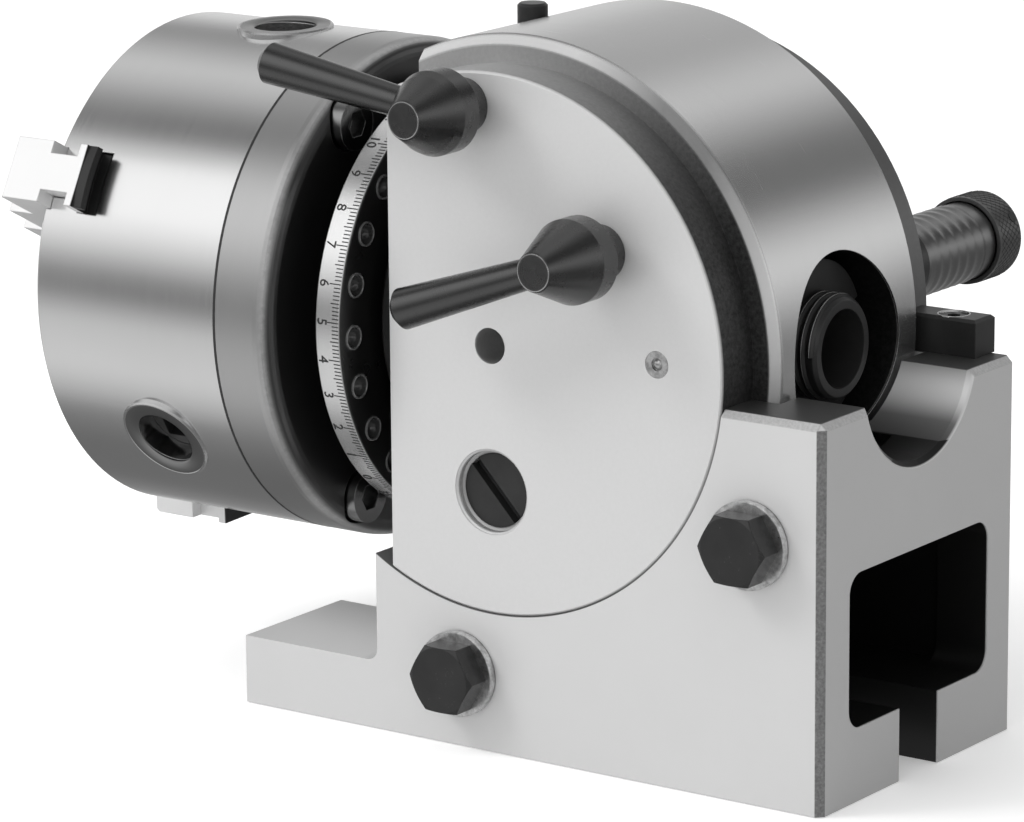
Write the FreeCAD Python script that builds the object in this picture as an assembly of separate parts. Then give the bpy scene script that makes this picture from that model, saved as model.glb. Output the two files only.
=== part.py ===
"""Semi-universal dividing head with a three-jaw chuck.

A split base carries a drum that tilts about a cross axis.  The drum holds a hollow
spindle with a worm wheel, a worm in an eccentric sleeve, an index plate with a crank,
a 24-hole ring for quick indexing, and a scroll chuck on an adapter flange.

Frame: +X along the spindle towards the chuck, +Y towards the lever side, +Z up.  The
origin is on the base's bottom face, straight below the tilt axis.  Millimetres.
"""
import FreeCAD, Part
import math
import os

V = FreeCAD.Vector
FULL_TURN = 360.0
ACROSS_TO_CORNER = 1 / math.sqrt(3)

# Running fits and gaps
fit = 0.05
seat_fit = 0.08
part_gap = 0.3
press = 0.02

# Base
centre_height = 100.0
base_width = 86.4
base_front = 75.3
rear_overhang = 27.2
upright_front = 34.6
rear_top_drop = 6.9
foot_thickness = 17.1
floor_thickness = 17.8
edge_chamfer = 1.6
slot_width = 17.6
front_slot_length = 35.0
front_slot_side = -4.6
foot_fillet = 3.0
rear_slot_length = 40.0
window_width = 62.6
window_top = 55.2
window_corner = 5.0
rear_wall = 14.0
hollow_front = 20.0
hollow_top_drop = 15.0
notch_radius = 24.0
notch_chamfer = 1.5

# Drum that tilts in the base
trunnion_radius = 65.5
shoulder_step = 4.5
drum_bevel = 2.3
near_rim = 13.0
far_rim = 10.0
far_proud = 4.4
drum_clearance = 1.2
front_flat = 29.4
rim_chamfer = 0.6

# Clamp bolts through both cheeks
clamp_margin = 16.7
rear_clamp_angle = 207.1
low_clamp_angle = 276.7
clamp_bolt_radius = 5.0
clamp_hole_radius = 5.5
clamp_bush_radius = 10.3
clamp_bush_proud = 0.4
clamp_head_across = 16.0
clamp_head_height = 6.4
clamp_nut_height = 8.0
washer_radius = 10.5
washer_thickness = 2.0

# Tilt index block on the far cheek
block_length = 20.6
block_width = 9.1
block_height = 9.2
block_gap = 0.9
block_screw_radius = 2.0
block_head_radius = 3.5
block_head_height = 4.0
block_bore_radius = 3.9
block_key_across = 3.0

# Spindle
spindle_bore = 9.5
taper_mouth = 11.9
taper_end = -14.0
rear_thread_radius = 12.3
spindle_rear = -71.0
rear_journal = 16.0
rear_bush_radius = 20.0
wheel_seat = 17.0
front_journal = 22.0
front_bush_radius = 29.5
bush_front = 29.0
wheel_chamber_radius = 30.0
chamber_rear = -9.0
chamber_front = 8.0
rear_bearing_end = -51.0
rear_pocket_radius = 23.1
nut_face = -63.4
nut_radius = 20.4
nut_width = 9.0
nut_slot = 3.0
cover_radius = 39.0
cover_screw_circle = 33.4
cover_front = 36.2
cover_screw_sink = 0.4
cover_screw_head = 3.0
cover_head_radius = 2.9
cover_shank_radius = 1.5
cover_screw_reach = 7.0
cover_key = 2.5
cover_key_depth = 1.5
ring_rear = 36.65
ring_front = 44.1
ring_radius = 53.5
ring_seat = 26.0
nose_radius = 18.0
nose_end = 66.0

# Direct indexing ring and pin
index_holes = 24
index_hole_circle = 48.1
index_hole_radius = 2.6
index_hole_depth = 6.8
spindle_turn = 1.9
pin_turn = -13.1
pin_radius = 2.5
pin_body_radius = 4.5
pin_tail = 2.0
pin_tip = 36.1
knob_x = 25.2
knob_radius = 3.75
knob_stem_radius = 2.4
knob_travel = 7.0
pocket_depth = 5.7
pocket_rear = 20.5
pocket_half_width = 13.0

# Worm gearing, 40 to 1
wheel_teeth = 40
gear_module = 1.25
worm_drop = 35.6
wheel_half_width = 7.0
tooth_root_half = 1.12
tooth_tip_half = 0.42
worm_turns = 6
worm_near_journal = 7.0
worm_far_journal = 9.0

# Eccentric sleeve that carries the worm
sleeve_offset = 3.0
sleeve_radius = 17.6
sleeve_bore = 12.35
sleeve_setback = 12.6
sleeve_ring_width = 10.0
sleeve_flange_radius = 25.0
flange_thickness = 15.0
hub_radius = 16.0
hub_length = 9.6
release_rod_radius = 3.0
release_rod_length = 66.0
release_rod_angle = 62.0
release_knob_radius = 5.0

# Plug and oiler on the near face
plug_mouth_radius = 10.35
plug_radius = 9.05
plug_thickness = 7.3
plug_recess = 2.2
plug_thread_step = 0.45
plug_slot = 2.6
plug_slot_depth = 2.5
plug_slot_turn = 43.5
oiler_x = -47.4
oiler_rise = 1.5
oiler_radius = 3.2
oiler_depth = 6.0
centre_hole_radius = 4.35
centre_hole_depth = 11.0

# Index plate, sector arms and crank
plate_radius = 58.0
plate_thickness = 5.0
plate_screw_circle = 20.5
first_circle = 15
last_circle = 20
inner_hole_circle = 30.0
plate_hole_radius = 1.5
sector_thickness = 1.7
sector_gap = 0.3
sector_ring_radius = 21.0
sector_reach = 49.4
sector_blade_width = 7.0
sector_opening = 62.0
sector_lead = 14.0
crank_radius = 52.5
crank_angle = 133.8
arm_thickness = 7.4
arm_hub_radius = 12.0
arm_end_radius = 10.0
arm_slot_width = 9.0
arm_slot_start = 24.0
shaft_end_radius = 6.0
crank_nut_across = 17.0
crank_nut_height = 7.0
barrel_radius = 10.0
barrel_length = 32.8
barrel_bore = 6.0
barrel_wall = 4.0
plunger_radius = 2.9
plunger_collar = 5.8
plunger_collar_width = 3.0
plunger_pin_radius = 1.4
cap_radius = 11.3
cap_reach = 11.7
cap_floor = 5.4
plunger_travel = 6.0
cap_dome = 1.6
spring_wire = 0.9
spring_radius = 4.6
spring_turns = 5

# Clamping levers
pin_lever_x = 6.5
pin_lever_rise = 57.0
pin_lever_reach = 24.3
spindle_lever_x = -32.2
spindle_lever_rise = 26.3
spindle_lever_reach = 27.6
collar_radius = 6.6
collar_length = 6.4
lever_hub_radius = 10.1
lever_face_radius = 4.4
lever_hub_length = 7.2
lever_length = 48.0
lever_lean = 4.0
handle_root_radius = 3.4
handle_end_radius = 5.0
lever_stud_radius = 4.0
pad_radius = 7.5
pad_gap = 1.6
pin_pad_length = 8.0
bore_plug_thickness = 8.0
bore_plug_key = 6.0
bore_plug_key_depth = 4.0
pin_lever_angle = 9.8
spindle_lever_angle = -19.3

# Adapter flange and chuck
chuck_radius = 62.3
adapter_rear = 52.1
chuck_rear = 67.9
chuck_front = 124.65
adapter_round = 4.2
adapter_hub_radius = 32.0
chuck_bore = 16.0
register_wall = 14.8
register_depth = 3.5
chuck_screw_margin = 8.3
chuck_screw_radius = 4.0
chuck_screw_grip = 12.5
screw_head_radius = 6.5
screw_head_height = 8.0
screw_pocket_depth = 5.3
chuck_hub_radius = 24.0
chuck_cavity_front = 110.6
front_chamfer = 1.5
jaw_count = 3

# Chuck scroll, pinions and jaws
scroll_pitch = 6.0
scroll_start = 26.5
scroll_play = 0.4
scroll_plate_rear = 99.9
scroll_plate_front = 107.3
ridge_height = 3.0
ridge_width = 2.5
ridge_runs_per_turn = 36
crown_teeth = 60
pinion_teeth = 10
pinion_x = 91.5
gear_width = 9.0
gear_margin = 7.5
pinion_body_radius = 7.7
pinion_setback = 6.0
pinion_inner_end = 21.0
pinion_pilot_radius = 3.0
key_square = 10.0
key_depth = 12.0
cover_rear = 72.5
back_cover_front = 95.6
jaw_width = 15.8
jaw_inner = 19.6
jaw_overhang = 5.3
jaw_rear = 111.0
jaw_step_height = 7.8
jaw_low_top = 133.7
jaw_low_length = 14.0
jaw_step_length = 16.0
jaw_groove_x = 113.3
jaw_groove_width = 8.5
jaw_groove_depth = 3.2
jaw_tooth_width = 2.1
jaw_travel = 17.0
jaw_tooth_reach = 2.7
slot_floor = 107.25

# Worked out from the dimensions above
near_face = base_width / 2
far_side = -base_width / 2
near_shoulder = near_face - near_rim
far_shoulder = near_face - far_rim
far_face = near_face + far_proud
shoulder_radius = trunnion_radius + shoulder_step
drum_radius = shoulder_radius + drum_bevel
base_rear = -(trunnion_radius + rear_overhang)
rear_top = centre_height - rear_top_drop
hollow_top = rear_top - hollow_top_drop
clamp_circle = trunnion_radius + clamp_margin
block_front = -(trunnion_radius + block_gap)
knob_top = centre_height + drum_radius
pocket_floor = knob_top - pocket_depth
sleeve_near_end = near_face - sleeve_setback
oiler_z = centre_height + oiler_rise
pin_lever_z = centre_height + pin_lever_rise
pin_lever_top = near_face + pin_lever_reach
spindle_lever_z = centre_height + spindle_lever_rise
spindle_lever_top = near_face + spindle_lever_reach
chuck_register = chuck_radius - register_wall
chuck_screw_circle = chuck_radius - chuck_screw_margin
scroll_outer = chuck_register - scroll_play
gear_outer = chuck_register - gear_margin
gear_inner = gear_outer - gear_width
pinion_outer_end = chuck_radius - pinion_setback
jaw_outer = chuck_radius + jaw_overhang
trunnion_bottom_fit = trunnion_radius + seat_fit
wheel_pitch_radius = gear_module * wheel_teeth / 2
worm_pitch_radius = worm_drop - wheel_pitch_radius
worm_pitch = math.pi * gear_module
wheel_tip_radius = wheel_pitch_radius + gear_module * 0.95
wheel_root_radius = wheel_pitch_radius - gear_module * 1.25
worm_tip_radius = worm_pitch_radius + gear_module * 0.95
worm_core_radius = worm_pitch_radius - gear_module * 1.25
worm_z = centre_height - worm_drop
flange_near = -(far_face + part_gap)
plate_near = flange_near - flange_thickness
plate_far = plate_near - plate_thickness
sector_near = plate_far - sector_gap
arm_near = plate_near - hub_length - part_gap * 2
arm_far = arm_near - arm_thickness
barrel_end = barrel_length - arm_far
cap_end = barrel_end + cap_reach
pin_y = index_hole_circle * math.sin(math.radians(pin_turn))
pin_z = centre_height + index_hole_circle * math.cos(math.radians(pin_turn))
teeth_ratio = pinion_teeth / crown_teeth


def rod(radius, start, end):
    """Cylinder from one point to another."""
    along = end - start
    return Part.makeCylinder(radius, along.Length, start, along)


def rod_x(radius, x_start, x_end, y=0.0, z=centre_height):
    return rod(radius, V(x_start, y, z), V(x_end, y, z))


def rod_y(radius, y_start, y_end, x, z):
    return rod(radius, V(x, y_start, z), V(x, y_end, z))


def block(x_range, y_range, z_range):
    """Box between three pairs of limits."""
    size = [high - low for low, high in (x_range, y_range, z_range)]
    return Part.makeBox(size[0], size[1], size[2], V(x_range[0], y_range[0], z_range[0]))


def turned(profile, base, direction):
    """Solid turned about an axis; the profile is (distance along, radius) pairs."""
    corners = [V(radius, 0, along) for along, radius in profile]
    face = Part.Face(Part.makePolygon(corners + corners[:1]))
    solid = face.revolve(V(0, 0, 0), V(0, 0, 1), FULL_TURN)
    solid.Placement = FreeCAD.Placement(base, FreeCAD.Rotation(V(0, 0, 1), direction))
    return solid


def turned_x(profile):
    return turned(profile, V(0, 0, centre_height), V(1, 0, 0))


def turned_y(profile, x, z):
    return turned(profile, V(x, 0, z), V(0, 1, 0))


def about_spindle(shape, angle):
    """Copy turned about the spindle; positive runs from straight up towards +Y."""
    return shape.copy().rotate(V(0, 0, centre_height), V(1, 0, 0), -angle)


def repeat_about_spindle(shape, count, start=0.0):
    turns = [start + FULL_TURN * step / count for step in range(count)]
    return [about_spindle(shape, turn) for turn in turns]


def hex_prism_y(across, y_start, y_end, x, z):
    """Hexagonal prism along Y."""
    corner = across * ACROSS_TO_CORNER
    turns = [math.radians(60 * step) for step in range(7)]
    outline = [V(x + corner * math.cos(t), y_start, z + corner * math.sin(t)) for t in turns]
    return Part.Face(Part.makePolygon(outline)).extrude(V(0, y_end - y_start, 0))


def on_circle(radius, angle, x=0.0, z=centre_height):
    """Point in the side view; the angle runs from +X towards +Z."""
    turn = math.radians(angle)
    return x + radius * math.cos(turn), z + radius * math.sin(turn)


def save(name, shape):
    shape.exportStep("parts/" + name + ".step")


def clamp_places():
    return [on_circle(clamp_circle, angle) for angle in (rear_clamp_angle, low_clamp_angle)]


def open_slot(x_mouth, x_inner, height, middle=0.0):
    """Slot for a clamping bolt, open at one end and round at the other."""
    half = slot_width / 2
    centre = x_inner - half if x_inner > x_mouth else x_inner + half
    straight = block(sorted((x_mouth, centre)), (middle - half, middle + half), (-1, height))
    return straight.fuse(Part.makeCylinder(half, height + 1, V(centre, middle, -1)))


def side_outline():
    corners = [V(base_rear, far_side, 0), V(base_front, far_side, 0)]
    corners += [V(base_front, far_side, foot_thickness), V(upright_front, far_side, foot_thickness)]
    corners += [V(upright_front, far_side, rear_top), V(base_rear, far_side, rear_top)]
    return Part.Face(Part.makePolygon(corners + corners[:1]))


def outer_edges(solid):
    """Edges round the top and up the rear corners; the foot's edges stay sharp."""
    chosen = []
    for edge in solid.Edges:
        ends = [vertex.Point for vertex in edge.Vertexes]
        on_side = all(abs(abs(p.y) - near_face) < 1e-6 for p in ends) and ends[0].y == ends[1].y
        at_rear = all(p.x < base_rear + 1e-6 for p in ends)
        at_top = all(p.z > rear_top - 1e-6 for p in ends)
        if (on_side and (at_rear or at_top)) or (at_rear and at_top):
            chosen.append(edge)
    return chosen


def foot_corner(solid):
    """The inner edge where the foot meets the upright."""
    chosen = []
    for edge in solid.Edges:
        ends = [vertex.Point for vertex in edge.Vertexes]
        if all(abs(p.x - upright_front) < 1e-6 and abs(p.z - foot_thickness) < 1e-6 for p in ends):
            chosen.append(edge)
    return chosen


def rear_window():
    """Rounded opening through the rear wall."""
    half = window_width / 2
    shape = block((base_rear - 1, base_rear + rear_wall + 1), (-half, half), (floor_thickness, window_top))
    along = [e for e in shape.Edges if abs(e.tangentAt(e.FirstParameter).x) > 0.99]
    return shape.makeFillet(window_corner, along)


def base_casting():
    body = side_outline().extrude(V(0, base_width, 0))
    body = body.makeChamfer(edge_chamfer, outer_edges(body))
    body = body.makeFillet(foot_fillet, foot_corner(body))
    cheek_near = near_shoulder + part_gap
    cheek_far = -(far_shoulder + part_gap)
    cuts = [rod_y(trunnion_bottom_fit, far_side - 1, near_face + 1, 0, centre_height)]
    cuts.append(rod_y(drum_radius + drum_clearance, cheek_far, cheek_near, 0, centre_height))
    cuts.append(rear_window())
    hollow_x = (base_rear + rear_wall, hollow_front)
    cuts.append(block(hollow_x, (cheek_far, cheek_near), (floor_thickness, hollow_top)))
    cuts.append(open_slot(base_rear - 1, base_rear + rear_slot_length, floor_thickness + 1))
    cuts.append(open_slot(base_front + 1, base_front - front_slot_length, foot_thickness + foot_fillet,
                          front_slot_side))
    cuts.append(rod_x(notch_radius, base_rear - 1, 0))
    mouth = notch_radius + notch_chamfer
    cuts.append(turned_x([(base_rear - 1, 0), (base_rear - 1, mouth + 1), (base_rear + notch_chamfer,
                          notch_radius), (base_rear + notch_chamfer, 0)]))
    bush_bore = clamp_bush_radius + fit
    for x, z in clamp_places():
        cuts.append(rod_y(clamp_hole_radius, far_side - 1, near_face + 1, x, z))
        cuts.append(rod_y(bush_bore, bush_inner_end(1) - 0.5, near_face + 1, x, z))
        cuts.append(rod_y(bush_bore, far_side - 1, -bush_inner_end(-1) + 0.5, x, z))
    cuts.append(rod(block_screw_radius, V(block_screw_x(), block_y(), rear_top - 9),
                    V(block_screw_x(), block_y(), rear_top + 1)))
    return body.cut(cuts)


def bush_inner_end(side):
    """Distance of a clamp bush's inner end from the middle plane."""
    return (near_shoulder if side > 0 else far_shoulder) - 1.2


def drum_profile(grow=0.0):
    taper = drum_radius - shoulder_radius
    return [(-far_face, 0), (-far_face, trunnion_radius - rim_chamfer + grow),
            (-far_face + rim_chamfer, trunnion_radius + grow), (-far_shoulder - grow, trunnion_radius + grow),
            (-far_shoulder - grow, shoulder_radius + grow), (taper - far_shoulder - grow, drum_radius + grow),
            (near_shoulder - taper + grow, drum_radius + grow), (near_shoulder + grow, shoulder_radius + grow),
            (near_shoulder + grow, trunnion_radius + grow), (near_face - rim_chamfer, trunnion_radius + grow),
            (near_face, trunnion_radius - rim_chamfer + grow), (near_face, 0)]


def clamp_bushes():
    """Bushes that the clamp bolts draw onto the drum's bevelled edges."""
    room_for_drum = turned_y(drum_profile(part_gap), 0, centre_height)
    bushes = []
    for x, z in clamp_places():
        near = rod_y(clamp_bush_radius, bush_inner_end(1), near_face + clamp_bush_proud, x, z)
        far = rod_y(clamp_bush_radius, far_side - clamp_bush_proud, -bush_inner_end(-1), x, z)
        hole = rod_y(clamp_bolt_radius + 2 * fit, far_side - 1, near_face + 1, x, z)
        bushes += [bush.cut([hole, room_for_drum]) for bush in (near, far)]
    return Part.makeCompound(bushes)


def clamp_bolts():
    head_y = near_face + clamp_bush_proud + washer_thickness
    nut_y = far_side - clamp_bush_proud - washer_thickness - clamp_nut_height
    bolts = []
    for x, z in clamp_places():
        shank = rod_y(clamp_bolt_radius, nut_y - 2, head_y, x, z)
        head = hex_prism_y(clamp_head_across, head_y, head_y + clamp_head_height, x, z)
        crown = turned_y([(head_y, 0), (head_y, clamp_head_across * 0.6), (head_y + clamp_head_height - 0.9,
                          clamp_head_across * 0.6), (head_y + clamp_head_height, clamp_head_across * 0.5),
                          (head_y + clamp_head_height, 0)], x, z)
        bolts.append(shank.fuse(head.common(crown)))
    return Part.makeCompound(bolts)


def clamp_washers():
    washers = []
    for x, z in clamp_places():
        for start in (near_face + clamp_bush_proud, far_side - clamp_bush_proud - washer_thickness):
            ring = rod_y(washer_radius, start, start + washer_thickness, x, z)
            washers.append(ring.cut(rod_y(clamp_hole_radius, start - 1, start + washer_thickness + 1, x, z)))
    return Part.makeCompound(washers)


def clamp_nuts():
    nut_y = far_side - clamp_bush_proud - washer_thickness
    nuts = []
    for x, z in clamp_places():
        nut = hex_prism_y(clamp_head_across, nut_y - clamp_nut_height, nut_y, x, z)
        nuts.append(nut.cut(rod_y(clamp_bolt_radius + press, nut_y - clamp_nut_height - 1, nut_y + 1, x, z)))
    return Part.makeCompound(nuts)


def block_y():
    """Middle of the index block across the base."""
    return -(far_shoulder + part_gap + 0.3 + block_width / 2)


def block_screw_x():
    return block_front - block_length * 0.58


def tilt_index_block():
    half = block_width / 2
    shape = block((block_front - block_length, block_front), (block_y() - half, block_y() + half),
                  (rear_top, rear_top + block_height))
    shape = shape.makeChamfer(0.7, [e for e in shape.Edges if e.BoundBox.ZMin > rear_top + 1])
    top = rear_top + block_height
    bore = rod(block_bore_radius, V(block_screw_x(), block_y(), top - block_head_height - 0.4),
               V(block_screw_x(), block_y(), top + 1))
    hole = rod(block_screw_radius + 2 * fit, V(block_screw_x(), block_y(), rear_top - 1),
               V(block_screw_x(), block_y(), top))
    return shape.cut([bore, hole])


def tilt_index_screw():
    base = rear_top + block_height - block_head_height - 0.4
    axis = V(block_screw_x(), block_y(), 0)
    head = rod(block_head_radius, axis + V(0, 0, base), axis + V(0, 0, base + block_head_height))
    shank = rod(block_screw_radius - press, axis + V(0, 0, rear_top - 8), axis + V(0, 0, base))
    return head.fuse(shank).cut(hex_socket(axis + V(0, 0, base + block_head_height), V(0, 0, -1),
                                          block_key_across, 2.0))


def hex_socket(mouth, direction, across, depth):
    """Hexagonal cutter from a mouth point inwards."""
    corner = across * ACROSS_TO_CORNER
    turns = [math.radians(60 * step) for step in range(7)]
    outline = [V(corner * math.cos(t), corner * math.sin(t), 0) for t in turns]
    cutter = Part.Face(Part.makePolygon(outline)).extrude(V(0, 0, depth))
    cutter.Placement = FreeCAD.Placement(mouth, FreeCAD.Rotation(V(0, 0, 1), direction))
    return cutter


def lever_bore(x, z, inner_end, radius):
    """Bore from the far face for the clamp pads, with a stud hole to the near face."""
    return [rod_y(radius + fit, -far_face - 1, inner_end, x, z),
            rod_y(lever_stud_radius + fit, inner_end - 1, near_face + 1, x, z)]


def spindle_pad_end():
    return rear_bush_radius


def pin_pad_end():
    return pin_y + pin_body_radius + 8


def swivel_housing():
    body = turned_y(drum_profile(), 0, centre_height)
    cuts = [block((front_flat, drum_radius + 1), (-far_face - 1, near_face + 1), (0, 2 * centre_height))]
    cuts.append(rod_x(wheel_chamber_radius, chamber_rear, front_flat + 1))
    cuts.append(rod_x(rear_bush_radius + press, rear_bearing_end - 1, chamber_rear + 1))
    cuts.append(rod_x(rear_pocket_radius, -drum_radius - 1, rear_bearing_end))
    cuts.append(rod_y(sleeve_radius + fit, -far_face - 1, sleeve_near_end + part_gap, sleeve_offset, worm_z))
    cuts.append(rod_y(plug_radius + press, sleeve_near_end, near_face + 1, 0, worm_z))
    cuts.append(plug_mouth())
    cuts.append(rod_y(oiler_radius + press, near_face - oiler_depth, near_face + 1, oiler_x, oiler_z))
    cuts.append(rod_y(centre_hole_radius, near_face - centre_hole_depth, near_face + 1, 0, centre_height))
    cuts += lever_bore(spindle_lever_x, spindle_lever_z, spindle_pad_end(), pad_radius)
    cuts += lever_bore(pin_lever_x, pin_lever_z, pin_pad_end(), pad_radius)
    cuts += index_pin_cuts()
    for screw in cover_screw_holes():
        cuts.append(screw)
    return body.cut(cuts)


def plug_mouth():
    """Threaded mouth above the plug, cut as a few plain grooves."""
    crest = plug_mouth_radius - plug_thread_step
    profile = [(near_face + 1, 0), (near_face + 1, plug_mouth_radius + 0.8), (near_face - 0.3, plug_mouth_radius)]
    depth = 0.3
    while depth + 0.3 < plug_recess:
        depth += 0.3
        profile.append((near_face - depth, crest))
        depth += 0.3
        profile.append((near_face - depth, plug_mouth_radius - plug_thread_step * depth / plug_recess))
    profile += [(near_face - depth - 0.3, plug_radius + 0.3), (near_face - depth - 0.3, 0)]
    return turned_y(profile, 0, worm_z)


def index_pin_cuts():
    bore = rod_x(pin_body_radius + fit, pin_tail - 1, front_flat + 1, pin_y, pin_z)
    half = knob_stem_radius + part_gap
    slot = block((knob_x, front_flat + 1), (pin_y - half, pin_y + half), (pin_z, pocket_floor + 9))
    slot_end = rod(half, V(knob_x, pin_y, pin_z), V(knob_x, pin_y, pocket_floor + 9))
    pocket = block((pocket_rear, front_flat + 1), (pin_y - pocket_half_width, pin_y + pocket_half_width),
                   (pocket_floor, 2 * centre_height))
    return [bore, slot, slot_end, pocket]


def cover_screw_holes():
    hole = rod_x(1.6, front_flat - 8, front_flat + 1, 0, centre_height + cover_screw_circle)
    return repeat_about_spindle(hole, 4, 45)


def front_cover():
    shape = turned_x([(front_flat, front_journal + part_gap), (front_flat, cover_radius),
                      (cover_front - 1.5, cover_radius), (cover_front, cover_radius - 1.5),
                      (cover_front, front_journal + part_gap)])
    radius = centre_height + cover_screw_circle
    head = rod_x(3.1, cover_front - 3.4, cover_front + 1, 0, radius)
    hole = rod_x(1.7, front_flat - 1, cover_front, 0, radius)
    return shape.cut(repeat_about_spindle(head.fuse(hole), 4, 45))


def cover_screws():
    radius = centre_height + cover_screw_circle
    top = cover_front - cover_screw_sink
    seat = top - cover_screw_head
    head = rod_x(cover_head_radius, seat, top, 0, radius)
    shank = rod_x(cover_shank_radius, front_flat - cover_screw_reach, seat, 0, radius)
    socket = hex_socket(V(top, 0, radius), V(-1, 0, 0), cover_key, cover_key_depth)
    return Part.makeCompound(repeat_about_spindle(head.fuse(shank).cut(socket), 4, 45))


def front_bearing_bush():
    """Bronze bush, relieved below where the worm's sleeve passes under the spindle."""
    tube = rod_x(wheel_chamber_radius - press, chamber_front, bush_front)
    relief = rod_y(sleeve_radius + part_gap, -wheel_chamber_radius, wheel_chamber_radius, sleeve_offset, worm_z)
    return tube.cut([rod_x(front_journal + fit, chamber_front - 1, bush_front + 1), relief])


def rear_bearing_bush():
    tube = rod_x(rear_bush_radius, rear_bearing_end, chamber_rear)
    pads = rod_y(pad_radius + fit, -far_face, near_face, spindle_lever_x, spindle_lever_z)
    return tube.cut(rod_x(rear_journal + fit, rear_bearing_end - 1, chamber_rear + 1)).cut(pads.common(tube))


def spindle():
    outer = [(spindle_rear, spindle_bore), (spindle_rear, rear_thread_radius - 0.8),
             (spindle_rear + 0.8, rear_thread_radius), (rear_bearing_end + 0.5, rear_thread_radius),
             (rear_bearing_end + 0.5, rear_journal), (chamber_rear + 0.5, rear_journal),
             (chamber_rear + 0.5, wheel_seat), (chamber_front, wheel_seat), (chamber_front, front_journal),
             (ring_rear, front_journal), (ring_rear, ring_seat), (ring_front, ring_seat),
             (ring_front, nose_radius), (nose_end - 1, nose_radius), (nose_end, nose_radius - 1),
             (nose_end, taper_mouth), (taper_end, spindle_bore + 0.3), (taper_end, spindle_bore)]
    body = turned_x(outer)
    return about_spindle(body.cut(wheel_key_space()), spindle_turn)


def wheel_key_space():
    return block((-wheel_half_width, wheel_half_width), (-2.5, 2.5),
                 (centre_height + wheel_seat - 3, centre_height + wheel_seat + 2.4))


def wheel_key():
    grip = press
    key = block((-wheel_half_width + grip, wheel_half_width - grip), (grip - 2.5, 2.5 - grip),
                (centre_height + wheel_seat - 3 + grip, centre_height + wheel_seat + 2.4 - grip))
    return about_spindle(key, spindle_turn)


def worm_wheel():
    """Wheel with a gap straight below the spindle, where the worm thread stands at rest."""
    outline = []
    for tooth in range(wheel_teeth):
        middle = math.radians(-90 + FULL_TURN * (tooth + 0.5) / wheel_teeth)
        for radius, half in ((wheel_root_radius, -tooth_root_half), (wheel_tip_radius, -tooth_tip_half),
                             (wheel_tip_radius, tooth_tip_half), (wheel_root_radius, tooth_root_half)):
            turn = middle + half / radius
            outline.append(V(-wheel_half_width, radius * math.cos(turn), centre_height + radius * math.sin(turn)))
    blank = Part.Face(Part.makePolygon(outline + outline[:1])).extrude(V(2 * wheel_half_width, 0, 0))
    bore = rod_x(wheel_seat + press, -wheel_half_width - 1, wheel_half_width + 1)
    return blank.cut([bore, about_spindle(wheel_key_space(), spindle_turn)])


def spindle_lock_nut():
    body = rod_x(nut_radius, nut_face, nut_face + nut_width)
    bore = rod_x(rear_thread_radius + press, nut_face - 1, nut_face + nut_width + 1)
    slot = block((nut_face - 1, nut_face + 3), (-nut_slot / 2, nut_slot / 2),
                 (centre_height + nut_radius - 2.5, centre_height + nut_radius + 1))
    return body.cut([bore] + repeat_about_spindle(slot, 4, 20))


def thrust_washer():
    ring = rod_x(nut_radius - 1, nut_face + nut_width, rear_bearing_end - 0.2)
    return ring.cut(rod_x(rear_thread_radius + press, nut_face, rear_bearing_end))


def direct_index_ring():
    ring = turned_x([(ring_rear, ring_seat + press), (ring_rear, ring_radius - 0.4),
                     (ring_rear + 0.4, ring_radius), (ring_front - 0.4, ring_radius),
                     (ring_front, ring_radius - 0.4), (ring_front, ring_seat + press)])
    hole = rod_x(index_hole_radius, ring_rear - 1, ring_rear + index_hole_depth, 0,
                 centre_height + index_hole_circle)
    return ring.cut(repeat_about_spindle(hole, index_holes, spindle_turn))


def direct_index_pin():
    body = rod_x(pin_body_radius, pin_tail, front_flat - 0.5, pin_y, pin_z)
    nose = turned([(0, 0), (0, pin_radius), (pin_tip - front_flat - 0.3, pin_radius),
                   (pin_tip - front_flat + 0.5, pin_radius - 0.8), (pin_tip - front_flat + 0.5, 0)],
                  V(front_flat - 0.5, pin_y, pin_z), V(1, 0, 0))
    return body.fuse(nose)


def index_pin_knob():
    stem = rod(knob_stem_radius, V(knob_x, pin_y, pin_z + pin_body_radius - 1), V(knob_x, pin_y, knob_top - 1))
    foot = pocket_floor + part_gap
    head = turned([(foot, 0), (foot, knob_radius), (knob_top - 0.6, knob_radius),
                   (knob_top, knob_radius - 0.6), (knob_top, 0)], V(knob_x, pin_y, 0), V(0, 0, 1))
    return stem.fuse(head).cut(rod_x(pin_body_radius + press, pin_tail, front_flat, pin_y, pin_z))


def worm_thread():
    """One right-hand start, with a crest straight above the worm axis at mid length."""
    length = worm_turns * worm_pitch
    path = Part.makeLongHelix(worm_pitch, length, worm_core_radius)
    inner = worm_core_radius - 0.4
    corners = [V(inner, 0, -tooth_root_half), V(worm_tip_radius, 0, -tooth_tip_half),
               V(worm_tip_radius, 0, tooth_tip_half), V(inner, 0, tooth_root_half)]
    profile = Part.makePolygon(corners + corners[:1])
    thread = Part.Wire(path).makePipeShell([profile], True, True)
    place = FreeCAD.Matrix()
    place.A11, place.A12, place.A13, place.A14 = 0, 1, 0, 0
    place.A21, place.A22, place.A23, place.A24 = 0, 0, 1, -length / 2
    place.A31, place.A32, place.A33, place.A34 = 1, 0, 0, worm_z
    thread.Placement = FreeCAD.Placement(place)
    return thread


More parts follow.
